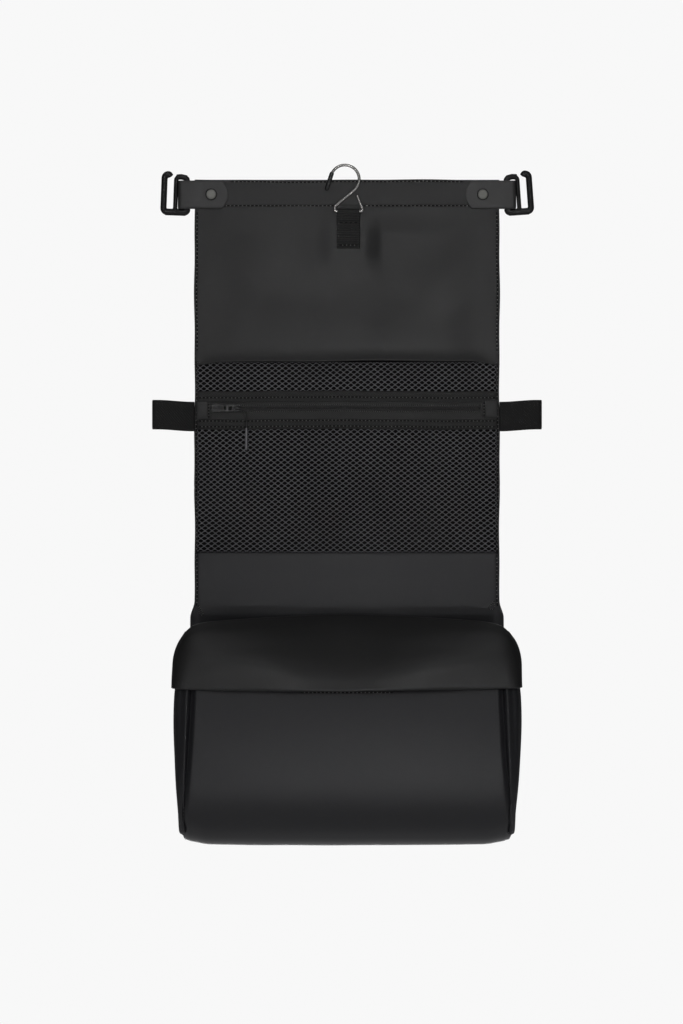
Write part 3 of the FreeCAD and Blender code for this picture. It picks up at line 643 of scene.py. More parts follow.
# ======================================================================== nets
def net(name, z_top, z_low, seed, node, slack):
    """Knitted net: a clean lattice of diamond cells with lens-shaped yarns."""
    W, H = 5.9, 4.45
    cols = int(math.ceil(260.0 / W)) + 1
    rws = int(math.ceil((z_top - z_low) / (H / 2))) + 1
    cache, V, F = {}, [], []

    def place(u, w):
        x = -130.0 + u * W / 2
        z = z_top - w * H / 2
        # the knit is pulled aslant near the pocket's ends, and wanders a little
        z = z + 0.55 * math.sin(x / 47.0 + seed) + 0.35 * math.sin(x / 19.0 + z / 31.0)
        x = x + 0.6 * math.sin(z / 17.0 + x / 60.0 + seed) + 1.6 * (x / 130.0) ** 3 * math.sin((z - z_top) / 22.0)
        x = max(-128.9, min(128.9, x))
        z = max(z_low, min(z_top, z))
        mid = max(0.0, 1 - (x / 128.0) ** 2)
        y = 1.75 - slack * mid * math.sin(math.pi * (z_top - z) / (z_top - z_low)) * (0.7 + 0.3 * math.sin(x / 26.0 + seed))
        return x, y, z

    def vertex(key, p):
        if key not in cache:
            cache[key] = len(V)
            V.append(p)
        return cache[key]

    for w in range(-1, rws + 1):
        for u in range(-1, 2 * cols):
            if (u + w) % 2:
                continue
            # a cell centred on (u, w), with its corners half a cell away
            corners = [(u - 1, w), (u, w - 1), (u + 1, w), (u, w + 1)]
            pts = [np.array(place(*c)) for c in corners]
            c = sum(pts) / 4
            if max(p[2] for p in pts) - min(p[2] for p in pts) < 1.2 or max(p[0] for p in pts) - min(p[0] for p in pts) < 1.6:
                continue
            if c[2] > z_top or c[2] < z_low:
                continue
            hole = []
            for k in range(4):
                # each side of the hole is the yarn's edge, a little bowed
                for t in (0.16, 0.5, 0.84):
                    a, b = pts[k], pts[(k + 1) % 4]
                    m = a * (1 - t) + b * t
                    inw = c - m
                    size = np.linalg.norm(inw)
                    hole.append(m + inw / max(size, 1e-6) * min((0.46 if t != 0.5 else 0.30), size * 0.6))
            hv = [vertex(("h", u, w, k), tuple(p)) for k, p in enumerate(hole)]
            for up, lift in ((1, -0.40), (-1, 0.30)):
                rim = []
                for k in range(4):
                    a, b = corners[k], corners[(k + 1) % 4]
                    rim.append(vertex(("n", a, up), tuple(pts[k] + np.array([0, lift * 1.25, 0]))))
                    key = ("e", tuple(sorted((a, b))), up)
                    rim.append(vertex(key, tuple((pts[k] + pts[(k + 1) % 4]) / 2 + np.array([0, lift, 0]))))
                for k in range(4):
                    n0, e0, n1 = rim[2 * k], rim[2 * k + 1], rim[(2 * k + 2) % 8]
                    h0, h1, h2 = hv[3 * k], hv[3 * k + 1], hv[3 * k + 2]
                    hb = hv[(3 * k + 3) % 12]
                    quads = [[n0, e0, h1, h0], [e0, n1, h2, h1], [n1, hb, h2]]
                    for q in quads:
                        F.append(q if up > 0 else q[::-1])
    o = make(name, V, F, M_NET, "mid_panel")
    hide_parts(node)
    return o


net("pocket_net_upper", -168.4, -195.5, 0.4, "mesh_upper", 0.4)
net("pocket_net_lower", -224.0, MB, 1.7, "mesh_lower", 1.5)


# =================================================================== zip tapes
def strip(name, z0, z1, y, thick, mat, node, half=128.6, rows_at=(), crown=0.25, seed=1, x0=None, x1=None):
    """A woven strip across the pocket with softly rounded edges."""
    xa, xb = (-half if x0 is None else x0), (half if x1 is None else x1)
    xx = np.linspace(xa, xb, max(12, int((xb - xa) / 3.0)))
    zz = lines(z1, z0, 1.0, marks=rows_at, near=(0, 0.35, 0.8))[::-1]
    P = []
    for z in zz:
        t = (z - z1) / (z0 - z1)
        yy = y - crown * (1 - (2 * t - 1) ** 6) - 0.12 * waves(xx, np.full_like(xx, z), seed, 18.0)
        for r in rows_at:
            yy = yy + groove(z - r, 0.22, 0.6)
        P.append(np.stack([xx, yy, z + 0.35 * np.sin(xx / 33.0 + seed) + 0.15 * np.sin(xx / 9.0 + seed)], 1))
    o = skin(name, np.array(P), thick, mat, "mid_panel", side=-1)
    if node:
        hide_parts(node)
    return P


def zline(z, seed):
    x = np.linspace(-128.0, 128.0, 200)
    return x, z + 0.35 * np.sin(x / 33.0 + seed) + 0.15 * np.sin(x / 9.0 + seed)


strip("zip_binding_upper_tape", -193.2, -202.6, 0.75, 1.2, M_TAPE, "zip_binding_upper", rows_at=(-198.6,), seed=2)
strip("zip_binding_lower_tape", -217.4, -225.8, 0.75, 1.2, M_TAPE, "zip_binding_lower", rows_at=(-218.6, -223.6), seed=2)
strip("zip_tape_upper_weave", -201.8, -206.9, 1.15, 0.6, M_ZIPTAPE, "zip_tape_upper", seed=2, crown=0.1)
strip("zip_tape_lower_weave", -208.7, -218.0, 1.15, 0.6, M_ZIPTAPE, "zip_tape_lower", seed=2, crown=0.1)
for z, y in ((-198.6, 0.62), (-218.6, 0.62), (-223.6, 0.62)):
    x, zz = zline(z, 2)
    sew("mid_panel", np.stack([x, np.full_like(x, y), zz], 1), FRONT, pitch=3.2, dash=2.2)

# zip coil: one bent nylon loop a pitch, on each side, meeting in the middle
for side, s in (("upper", 1), ("lower", -1)):
    heap = Heap()
    pitch = 1.25
    for i in range(int((114.4 + 116.6) / pitch)):
        x = -116.4 + i * pitch + (0 if s > 0 else pitch / 2)
        z0 = zm + 0.35 * math.sin(x / 33.0 + 2) + 0.15 * math.sin(x / 9.0 + 2)
        path = [(x - 0.16, 1.15, z0 + s * 2.05), (x - 0.14, 0.62, z0 + s * 1.7), (x - 0.06, 0.42, z0 + s * 0.9),
                (x + 0.02, 0.5, z0 + s * 0.1), (x + 0.1, 0.85, z0 - s * 0.25), (x + 0.16, 1.3, z0 + s * 0.2)]
        V, F = tube_mesh(resample(path, 9), 0.27, 0.32, sides=8)
        heap.add(V, F)
    # the cord that the loops are sewn round
    xx = np.linspace(-116.6, 114.4, 120)
    z0 = zm + 0.35 * np.sin(xx / 33.0 + 2) + 0.15 * np.sin(xx / 9.0 + 2)
    V, F = tube_mesh(np.stack([xx, np.full_like(xx, 0.98), z0 + s * 1.45], 1), 0.32, sides=8)
    heap.add(V, F)
    o = heap.make("zip_coil_%s_teeth" % side, M_COIL, "mid_panel")
    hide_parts("zip_coil_" + side)
    xs2 = np.linspace(-116, 114, 160)
    z0 = zm + 0.35 * np.sin(xs2 / 33.0 + 2) + 0.15 * np.sin(xs2 / 9.0 + 2)
    sew("mid_panel", np.stack([xs2, np.full_like(xs2, 1.0), z0 + s * 2.75], 1), FRONT, pitch=1.6, dash=1.15, w=0.2, h=0.16)


def end_tab(name, node, xa, xb, z0, z1, stitch_x):
    """A folded cloth patch over the zip's end, a little puffed."""
    xx = lines(xa, xb, 0.8, marks=(stitch_x,), near=(0, 0.4, 0.8))
    zz = lines(z1, z0, 0.9)[::-1]
    P = []
    for z in zz:
        t = (z - z1) / (z0 - z1)
        u = (xx - xa) / (xb - xa)
        puff = 0.75 * np.sin(math.pi * np.clip(t, 0, 1)) ** 0.6 * np.sin(math.pi * np.clip(u, 0.02, 0.98)) ** 0.5
        y = 0.35 - puff + groove(xx - stitch_x, 0.45, 0.7) + groove(z - z0 + 1.0, 0.2) + groove(z - z1 - 1.0, 0.2)
        P.append(np.stack([xx + 0.1 * math.sin(z), y, z + 0.25 * np.sin(u * 3)], 1))
    o = skin(name, np.array(P), 0.75, M_CLOTH, "mid_panel", side=-1)
    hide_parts(node)
    z = np.linspace(z0 - 0.8, z1 + 0.8, 20)
    sew("mid_panel", np.stack([np.full_like(z, stitch_x), np.full_like(z, 0.12), z], 1), FRONT, pitch=2.6, dash=1.8)


end_tab("zip_end_patch_left", "zip_end_tab_left", -129.4, -117.2, -202.4, -217.6, -118.9)
end_tab("zip_end_patch_right", "zip_end_tab_right", 116.1, 129.4, -201.4, -216.2, 117.9)

# ================================================================== hook
w, bx, br, bz = 1.25, -1.8, 12.3, -38.6
cz = w - br


def bow(a):
    a = math.radians(a)
    return np.array([bx + br * math.cos(a), cz + br * math.sin(a)])


def rounded(points, radii, step=10):
    """Straight runs joined by arcs, in X and Z."""
    out = [np.array(points[0], float)]
    for i in range(1, len(points) - 1):
        p, q, r = (np.array(points[k], float) for k in (i - 1, i, i + 1))
        u, v = (p - q) / np.linalg.norm(p - q), (r - q) / np.linalg.norm(r - q)
        half = math.acos(max(-1, min(1, u.dot(v)))) / 2
        back = radii[i - 1] / math.tan(half)
        c = q + (u + v) / np.linalg.norm(u + v) * radii[i - 1] / math.sin(half)
        a, b = q + u * back - c, q + v * back - c
        t0, t1 = math.atan2(a[1], a[0]), math.atan2(b[1], b[0])
        d = (t1 - t0 + math.pi) % (2 * math.pi) - math.pi
        for k in range(step + 1):
            t = t0 + d * k / step
            out.append(c + radii[i - 1] * np.array([math.cos(t), math.sin(t)]))
    out.append(np.array(points[-1], float))
    return np.array(out)


leave, tip, on = bow(-50.4), np.array([-16.9, -17.6]), bow(161.9)
slant = np.array([-math.sin(math.radians(50.4)), -math.cos(math.radians(50.4))])
corner = leave + slant * ((leave[0] + 10.4) / math.sin(math.radians(50.4)))
low = rounded([leave, corner, (-10.4, bz), (14.0, bz), (8.6, -24.6)], [2.0, 1.35, 1.4])
p2 = np.concatenate([[tip], [bow(a) for a in np.linspace(161.9, -50.4, 60)], low[1:]])
p2 = resample(p2, 420)
path = np.stack([p2[:, 0], np.zeros(len(p2)), p2[:, 1]], 1)
rad = np.full(len(path), w)
rad[-3:] = [w * 0.97, w * 0.86, w * 0.6]
V, F = tube_mesh(path, rad, sides=24)
hook = make("hook_wire", V, F, M_HOOK, "hook")
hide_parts("hanging_hook")
d = (tip - on) / np.linalg.norm(tip - on)
s = np.array([-2.4, -2.2, -1.6, -0.6, 0.4, 3, 6, 9, 11.6, 12.8, 13.6, 14.05, 14.2])
r = np.array([1.28, 1.6, 1.78, 1.85, 1.87, 1.88, 1.88, 1.9, 1.88, 1.75, 1.35, 0.8, 0.25])
pts = []
for q in s:
    if q < 0:
        ang = 161.9 - math.degrees(-q / br) * -1 * -1
        pts.append(bow(161.9 + q / br * 57.3))
    else:
        pts.append(on + d * q)
pts = np.array(pts)
V, F = tube_mesh(np.stack([pts[:, 0], np.zeros(len(pts)), pts[:, 1]], 1), r, sides=24)
sleeve = make("hook_tip_cover", V, F, M_PLASTIC, "hook")
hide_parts("hook_tip_sleeve")


# ============================================================ straps and loops
def strap(name, path, half, thick, mat, body, axis, node, cross=9, ends=None, edge_round=0.3):
    """A flat strap. path is its middle line seen edge on, half its half width along axis, ends trims the width."""
    path = np.asarray(path, float)
    K = len(path)
    t = np.gradient(path, axis=0)
    t /= np.linalg.norm(t, axis=1, keepdims=True)
    axis = np.asarray(axis, float)
    nrm = np.cross(t, axis)
    nrm /= np.linalg.norm(nrm, axis=1, keepdims=True)
    u = np.linspace(-1, 1, cross)
    V, F = [], []
    ring = [(a, 1) for a in u] + [(a, -1) for a in u[::-1]]
    for k in range(K):
        hw = half * (1.0 if ends is None else ends[k])
        for a, up in ring:
            # the strap thins to a rounded selvedge
            fall = 1 - 0.55 * max(0, (abs(a) - 0.9) / 0.1)
            V.append(path[k] + axis * a * hw + nrm[k] * up * thick / 2 * fall)
    n = len(ring)
    for k in range(K - 1):
        for j in range(n):
            j2 = (j + 1) % n
            F.append([k * n + j, k * n + j2, (k + 1) * n + j2, (k + 1) * n + j])
    F.append(list(range(n))[::-1])
    F.append([(K - 1) * n + j for j in range(n)])
    o = make(name, V, F, mat, body)
    if node:
        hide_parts(node)
    return o


# hanger webbing: up the front, round the bar, and down behind
mid_r = 1.95
yz = [(1.35, -70.2), (1.32, -62.0), (1.3, -50.5), (0.95, -46.0)]
lower_leg = np.array([(1.0, -70.2), (1.0, -60.0), (0.95, -50.5), (0.35, -46.6), (-1.1, -42.6)])
wrap = arc(0.05, bz, mid_r, 200, -8, 18)
upper_leg = np.array([(2.05, -42.2), (2.1, -46.4), (2.05, -50.5), (2.05, -60.0), (2.05, -69.9)])
line = np.concatenate([lower_leg, wrap, upper_leg])
line = resample(line, 90)
wave_y = 0.04 * np.sin(np.arange(90) / 2.0)
path = np.stack([np.full(90, 1.3), line[:, 0] + wave_y, line[:, 1]], 1)
ends = 1 - 0.10 * np.exp(-((line[:, 1] + 37.0) / 2.2) ** 2)
strap("hanger_strap", path, 10.0, 1.0, M_WEB, "top_panel", (1, 0, 0), "hanger_webbing", cross=15, ends=ends)
for z, kw in ((-48.0, dict(pitch=4.2, dash=3.0, w=0.5, h=0.4)), (-67.6, dict(pitch=3.4, dash=2.5, w=0.42, h=0.34))):
    x = np.linspace(-7.6, 10.4, 30)
    sew("top_panel", np.stack([x, np.full_like(x, 0.42 if z > -50 else 0.5), np.full_like(x, z)], 1), FRONT, **kw)

# corner tabs: one coated strap, doubled round the gate hook's bar
for side, sgn in (("left", -1), ("right", 1)):
    xc, ty = 138.9, 4.0
    front_ply = np.array([(102.3, 2.02), (104, 2.02), (110.0, 1.95), (122.0, 1.9), (131.0, 1.75), (136.0, 1.45)])
    bend = arc(xc + 3.5, ty, 2.92, -80, 80, 20)
    back_ply = np.array([(136.0, 6.5), (131.0, 6.0), (120.0, 5.9), (104.0, 5.92), (102.3, 5.92)])
    prof = resample(np.concatenate([front_ply, bend, back_ply]), 150)
    for _ in range(12):
        prof[1:-1] = 0.5 * prof[1:-1] + 0.25 * (prof[:-2] + prof[2:])
    half = np.ones(150)
    for k, (px_, _) in enumerate(prof):
        t = px_ - 102.3
        if t < 6.2:
            full = 17.2
            half[k] = min(1.0, math.sqrt(max(0.3, full ** 2 - (full - t - 0.02) ** 2)) / 12.2)
    path = np.stack([sgn * prof[:, 0], prof[:, 1] + 0.05 * np.sin(np.arange(150) / 9.0), np.full(150, -24.2)], 1)
    o = strap("tab_%s_strap" % side, path, 12.2, 1.25, M_TAB, "top_panel", (0, 0, 1), "tab_" + side, cross=21, ends=half)

# rivet caps: a dark ring with a grey dished disc
for side, sgn in (("left", -1), ("right", 1)):
    X0, Z0 = sgn * 116.8, -23.9

    def lathe(name, prof, mat, node, y_sign=1):
        S = 48
        V, F = [], []
        for r_, y_ in prof:
            for k in range(S):
                a = 2 * math.pi * k / S
                V.append((X0 + r_ * math.cos(a), y_, Z0 + r_ * math.sin(a)))
        for i in range(len(prof) - 1):
            for k in range(S):
                k2 = (k + 1) % S
                F.append([i * S + k, i * S + k2, (i + 1) * S + k2, (i + 1) * S + k])
        F.append([k for k in range(S)][::-1])
        F.append([(len(prof) - 1) * S + k for k in range(S)])
        o = make(name, V, F, mat, "top_panel")
        if node:
            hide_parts(node)
        return o

    lathe("rivet_ring_" + side, [(1.0, 1.46), (5.0, 1.44), (5.15, 1.2), (5.1, 0.85), (4.8, 0.55), (4.45, 0.5), (4.25, 0.72), (4.1, 0.95), (1.0, 1.0)],
          M_BLACK, None)
    lathe("rivet_face_" + side, [(0.6, 1.1), (4.1, 1.1), (4.2, 0.8), (4.1, 0.5), (3.7, 0.33), (2.6, 0.25), (1.2, 0.22), (0.3, 0.22)],
          M_RIVET, "rivet_cap_" + side)
    lathe("rivet_tail_" + side, [(1.5, 1.6), (1.5, 6.4), (3.9, 6.56), (4.2, 6.8), (4.1, 7.2), (3.4, 7.4), (2.2, 7.42), (1.9, 7.1), (1.2, 7.0), (0.3, 7.0)][::-1],
          M_BLACK, "rivet_post_" + side)

# side loops: webbing folded on itself, its ends caught in the side seam
for side, sgn in (("left", -1), ("right", 1)):
    ly = 4.0
    a = np.array([(131.2, 3.35), (133.4, 2.9), (137.0, 2.35), (142.0, 1.2), (150.0, 0.55), (158.0, 0.35)])
    b = arc(163.4, ly, 3.65, -90, 90, 18)
    c = np.array([(158.0, 7.65), (150.0, 7.45), (142.0, 6.8), (137.0, 5.65), (133.4, 5.1), (131.2, 4.65)])
    prof = resample(np.concatenate([a, b, c]), 110)
    zmid = -215.0 + 1.6 * sm((prof[:, 0] - 133) / 30)
    path = np.stack([sgn * prof[:, 0], prof[:, 1] + 0.12 * np.sin(prof[:, 0] / 4.0), zmid], 1)
    strap("side_loop_%s_webbing" % side, path, 12.7, 1.25, M_TWILL, "side_loop_" + side, (0, 0, 1), "side_loop_" + side, cross=17)

# ================================================================== gate hooks
def gate(side, sgn, tilt):
    """Cast flat hook: rounded bars fused into one skin."""
    heap = Heap()
    ty = 4.0

    def bar(pts, rn, rb, n=60, smooth_r=None):
        q = rounded(pts, smooth_r) if smooth_r else np.array(pts, float)
        q = resample(q, n)
        path = np.stack([q[:, 0], np.full(len(q), ty), q[:, 1]], 1)
        V, F = tube_mesh(path, rn, rb, sides=14)
        heap.add(V, F)

    # outer arm with its turned-in tip, round into the bottom rail
    bar([(152.2, -8.9), (153.6, -6.9), (157.4, -7.1), (157.5, -39.6), (137.0, -39.6), (137.0, -36.4)], 1.9, 2.75, 160, [1.2, 3.4, 3.3, 2.6])
    bar([(155.5, -39.5), (138.5, -39.5)], 1.9, 3.05, 30)
    # middle bar into the top rail and down to the inner bar
    bar([(147.4, -39.0), (147.4, -9.0), (137.6, -9.6), (137.4, -12.5)], 1.85, 1.95, 110, [2.8, 2.4])
    bar([(147.0, -9.3), (143.0, -8.9), (138.4, -9.8)], 1.85, 2.5, 30)
    bar([(138.9, -39.0), (138.9, -10.0)], 1.85, 1.85, 40)
    V = np.concatenate(heap.v)
    V[:, 0] *= sgn
    F = [f[::-1] for f in heap.f] if sgn < 0 else heap.f
    # turned about the inner bar
    a = math.radians(tilt)
    dx, dz = V[:, 0] - sgn * 138.9, V[:, 2] + 24.2
    V[:, 0] = sgn * 138.9 + dx * math.cos(a) + dz * math.sin(a)
    V[:, 2] = -24.2 - dx * math.sin(a) + dz * math.cos(a)
    o = make("gate_hook_" + side, V, F, M_BLACK, None)
    mod = o.modifiers.new("fuse", "REMESH")
    mod.mode = "VOXEL"
    mod.voxel_size = 0.00034
    mod.use_smooth_shade = True
    sm_ = o.modifiers.new("smooth", "SMOOTH")
    sm_.iterations = 4
    sm_.factor = 0.5
    dg = bpy.context.evaluated_depsgraph_get()
    new = bpy.data.meshes.new_from_object(o.evaluated_get(dg))
    o.modifiers.clear()
    o.data = new
    new.polygons.foreach_set("use_smooth", [True] * len(new.polygons))
    if not new.materials:
        new.materials.append(M_BLACK)
    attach(o, "g_hook_" + side)
    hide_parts("g_hook_" + side)
    return o


gate("left", -1, 2.0)
gate("right", 1, -4.0)


# ============================================================== slider and pull
def fused(name, heap, mat, body, node, voxel=0.00016, smooth=3):
    o = make(name, np.concatenate(heap.v), heap.f, mat, None)
    mod = o.modifiers.new("fuse", "REMESH")
    mod.mode = "VOXEL"
    mod.voxel_size = voxel
    s_ = o.modifiers.new("smooth", "SMOOTH")
    s_.iterations = smooth
    dg = bpy.context.evaluated_depsgraph_get()
    new = bpy.data.meshes.new_from_object(o.evaluated_get(dg))
    o.modifiers.clear()
    o.data = new
    new.polygons.foreach_set("use_smooth", [True] * len(new.polygons))
    if not new.materials:
        new.materials.append(mat)
    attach(o, body)
    if node:
        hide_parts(node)
    return o


def slab(heap, outline, y0, y1):
    """A flat plate from an outline in X and Z."""
    n = len(outline)
    V = [(x_, y0, z_) for x_, z_ in outline] + [(x_, y1, z_) for x_, z_ in outline]
    F = [list(range(n)), list(range(2 * n - 1, n - 1, -1))]
    for k in range(n):
        k2 = (k + 1) % n
        F.append([k, k + n, k2 + n, k2])
    heap.add(V, F)


def rounded_rect(x0, x1, z0, z1, r, n=6):
    out = []
    for cx, cz_, a in ((x1 - r, z1 - r, 0), (x0 + r, z1 - r, 90), (x0 + r, z0 + r, 180), (x1 - r, z0 + r, 270)):
        out += [tuple(p) for p in arc(cx, cz_, r, a, a + 90, n)]
    return out


h = Heap()
body_line = [(sx, zm - 2.4), (sx + 0.6, zm - 3.1), (sx + 2.4, zm - 3.6), (sx + 8.4, zm - 3.1), (sx + 10.0, zm - 2.2), (sx + 10.5, zm),
             (sx + 10.0, zm + 2.2), (sx + 8.4, zm + 3.1), (sx + 2.4, zm + 3.6), (sx + 0.6, zm + 3.1), (sx, zm + 2.4)]
slab(h, body_line, -0.8, 0.25)
slab(h, [(sx + 1.0, zm - 0.3), (sx + 8.8, zm - 0.3), (sx + 8.8, zm + 0.3), (sx + 1.0, zm + 0.3)], 0.0, 2.3)
slab(h, [(q[0], zm + (q[1] - zm) * 0.96) for q in body_line], 2.2, 2.55)
q = rounded([(sx + 2.0, -0.5), (sx + 2.0, -2.85), (sx + 8.7, -2.85), (sx + 8.7, -0.5)], [0.9, 0.9], 6)
q = resample(q, 40)
V, F = tube_mesh(np.stack([q[:, 0], q[:, 1], np.full(40, zm)], 1), 1.0, 0.42, sides=12)
# the bow is a flat band; scaling its height by 1.0 below leaves it as it is
V[:, 2] = zm + (V[:, 2] - zm) * 1.0
h.add(V, F)
fused("slider_body", h, M_PULL, "zip_slider", "zip_slider")

# pull: a rounded frame with a window for the bridge, a slot and a cord hole
pxx = sx + 6.3
outer_ = rounded_rect(pxx - 0.45, pxx + 18.9, zm - 2.85, zm + 2.85, 1.0)
outer_ = [(x_, z_) for x_, z_ in outer_]
h = Heap()


def frame_piece(x0, x1, z0, z1, r=0.3):
    slab(h, rounded_rect(x0, x1, z0, z1, r, 3), -2.12, -1.14)


frame_piece(pxx - 0.42, pxx + 17.6, zm + 1.55, zm + 2.85, 0.5)
frame_piece(pxx - 0.42, pxx + 17.6, zm - 2.85, zm - 1.55, 0.5)
frame_piece(pxx + 6.0, pxx + 8.2, zm - 2.6, zm + 2.6)
frame_piece(pxx + 11.0, pxx + 13.4, zm - 2.6, zm + 2.6)
V, F = tube_mesh([(pxx, -1.62, zm - 2.6), (pxx, -1.62, zm), (pxx, -1.62, zm + 2.6)], 0.45, sides=12)
h.add(V, F)
end_pts = rounded([(pxx + 15.5, zm + 2.2), (pxx + 18.25, zm + 2.2), (pxx + 18.25, zm - 2.2), (pxx + 15.5, zm - 2.2)], [1.9, 1.9], 8)
end_pts = resample(end_pts, 40)
V, F = tube_mesh(np.stack([end_pts[:, 0], np.full(40, -1.63), end_pts[:, 1]], 1), 0.5, 0.66, sides=12)
h.add(V, F)
frame_piece(pxx + 13.0, pxx + 18.0, zm - 0.32, zm + 0.32, 0.2)
fused("pull_tab", h, M_PULL, "zip_pull", "zip_pull", voxel=0.00014, smooth=3)

# the end stop keeps its CAD shape
nodes["zip_stop"].data.materials.clear()
nodes["zip_stop"].data.materials.append(M_BLACK)
nodes["top_stiffener"].data.materials.clear()
nodes["top_stiffener"].data.materials.append(M_PLASTIC)

# cord and its tube
curve.materials.append(M_CORD)
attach(cord, "pull_cord")
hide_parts("pull_cord")
a, b = np.array(ROUTE[-2]), np.array(ROUTE[-1])
d = (b - a) / np.linalg.norm(b - a)
s = np.array([-19.0, -18.9, -18.5, -17.6, -10, -2, -0.4, 0.15, 0.4])
r = np.array([0.84, 1.0, 1.18, 1.25, 1.25, 1.25, 1.2, 0.95, 0.3])
V, F = tube_mesh(np.array([b + d * q for q in s]), r, sides=24)
tube = make("pull_cord_tube", V, F, M_PIN, "pull_cord")
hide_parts("pull_sleeve")

# ======================================================================= pouch
profile = [(-96.8, -447.0, 133.0), (-98.8, -462.0, 133.6), (-100.2, -482.0, 134.8), (-100.6, -505.0, 136.2), (-99.6, -528.0, 138.2),
           (-97.0, -546.0, 139.8), (-92.0, -560.0, 140.6), (-84.0, -571.0, 140.6), (-72.0, -579.0, 139.8), (-56.0, -582.2, 138.8),
           (-38.0, -583.0, 137.8), (-22.0, -582.4, 136.6), (-9.0, -579.2, 134.6), (0.0, -573.0, 132.0), (2.6, -566.0, 131.4)]
prof = refine(np.array([profile, profile]), 1, 7)[0]
uu = lines(-1, 1, 0.02, marks=(-0.98, 0.98), near=(0, 0.005, 0.010, 0.015, 0.02))
P = []
n_rows = len(prof)
for k, (py_, pz_, ph) in enumerate(prof):
    t = k / (n_rows - 1)
    x = uu * ph
    # outward direction of the profile
    k0, k1 = max(0, k - 1), min(n_rows - 1, k + 1)
    ty_, tz_ = prof[k1][0] - prof[k0][0], prof[k1][1] - prof[k0][1]
    L = math.hypot(ty_, tz_)
    oy, oz = tz_ / L, -ty_ / L
    if oy > 0 and k < n_rows * 0.4:
        oy, oz = -oy, -oz
    inside = 1 - np.abs(uu) ** 2.4
    crown = 2.6 * inside * math.sin(math.pi * min(1, max(0, t) * 1.9)) if t < 0.53 else 0.0 * inside
    seam_in = -3.0 * sm((np.abs(uu) - 0.962) / 0.038) * (0.35 + 0.65 * sm((0.62 - t) / 0.3))
    rumple = 0.45 * waves(x, np.full_like(x, pz_ + py_), 31, 85.0) * sm((1 - np.abs(uu)) / 0.2)
    out = crown + seam_in + rumple
    lift = (2.6 * sm((np.abs(uu) - 0.84) / 0.16) + 1.5 * uu ** 2) * sm((t - 0.36) / 0.16) * (1 - 0.4 * sm((t - 0.8) / 0.2))
    P.append(np.stack([x, py_ + oy * out, pz_ + oz * out + lift], 1))
P = np.array(P)
fp = skin("pouch_front_cloth", P, 1.3, M_POUCH, "pouch", side=-1)
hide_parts("front_panel")
front_P = P

# stitches just under the collar's edge and down the seams' lower ends
k = int(np.argmin(np.abs(front_P[: n_rows // 2, front_P.shape[1] // 2, 2] + 452.0)))
row = front_P[k]
row = row[np.abs(row[:, 0]) < 42.0]
sew("pouch", row + np.array([0, -0.05, 0]), FRONT)

levels = {
    -392.0: [(133.4, 3.2), (134.6, -18), (135.8, -44), (136.6, -64), (136.6, -76.0), (134.6, -79.0), (132.4, -80.0)],
    -420.0: [(134.2, 3.2), (138.2, -18), (142.0, -44), (143.4, -66), (142.2, -83), (138.4, -88.0), (133.0, -88.0)],
    -444.0: [(134.8, 3.2), (141.0, -18), (145.6, -44), (146.9, -68), (145.0, -88.5), (138.8, -95.2), (133.4, -93.8)],
    -458.0: [(135.0, 3.2), (141.8, -18), (146.8, -44), (148.2, -70), (146.2, -90.5), (139.4, -98.0), (133.9, -94.6)],
    -480.0: [(135.2, 3.2), (142.2, -18), (147.2, -44), (148.3, -70), (146.4, -91.6), (140.2, -99.4), (135.0, -96.0)],
    -505.0: [(135.4, 3.2), (142.2, -18), (146.8, -44), (147.8, -70), (146.2, -91.6), (141.2, -99.4), (136.4, -96.6)],
    -528.0: [(135.4, 3.2), (141.6, -18), (145.6, -44), (146.6, -69), (145.6, -89.6), (142.0, -97.6), (138.2, -96.0)],
    -546.0: [(135.2, 3.0), (140.8, -18), (144.2, -44), (145.2, -67), (144.6, -86.0), (142.2, -94.0), (139.9, -93.8)],
    -560.0: [(134.6, 2.6), (139.8, -18), (142.6, -44), (143.8, -65), (143.6, -81.5), (142.2, -88.4), (140.7, -89.6)],
    -571.0: [(132.6, 1.2), (138.0, -18), (140.4, -43), (141.6, -62), (142.0, -75.0), (141.4, -80.6), (140.7, -82.8)],
}
zz_top = {-392.0: [-10.5, -10.3, -9.9, -9.5, -9.3, -9.2, -9.0]}
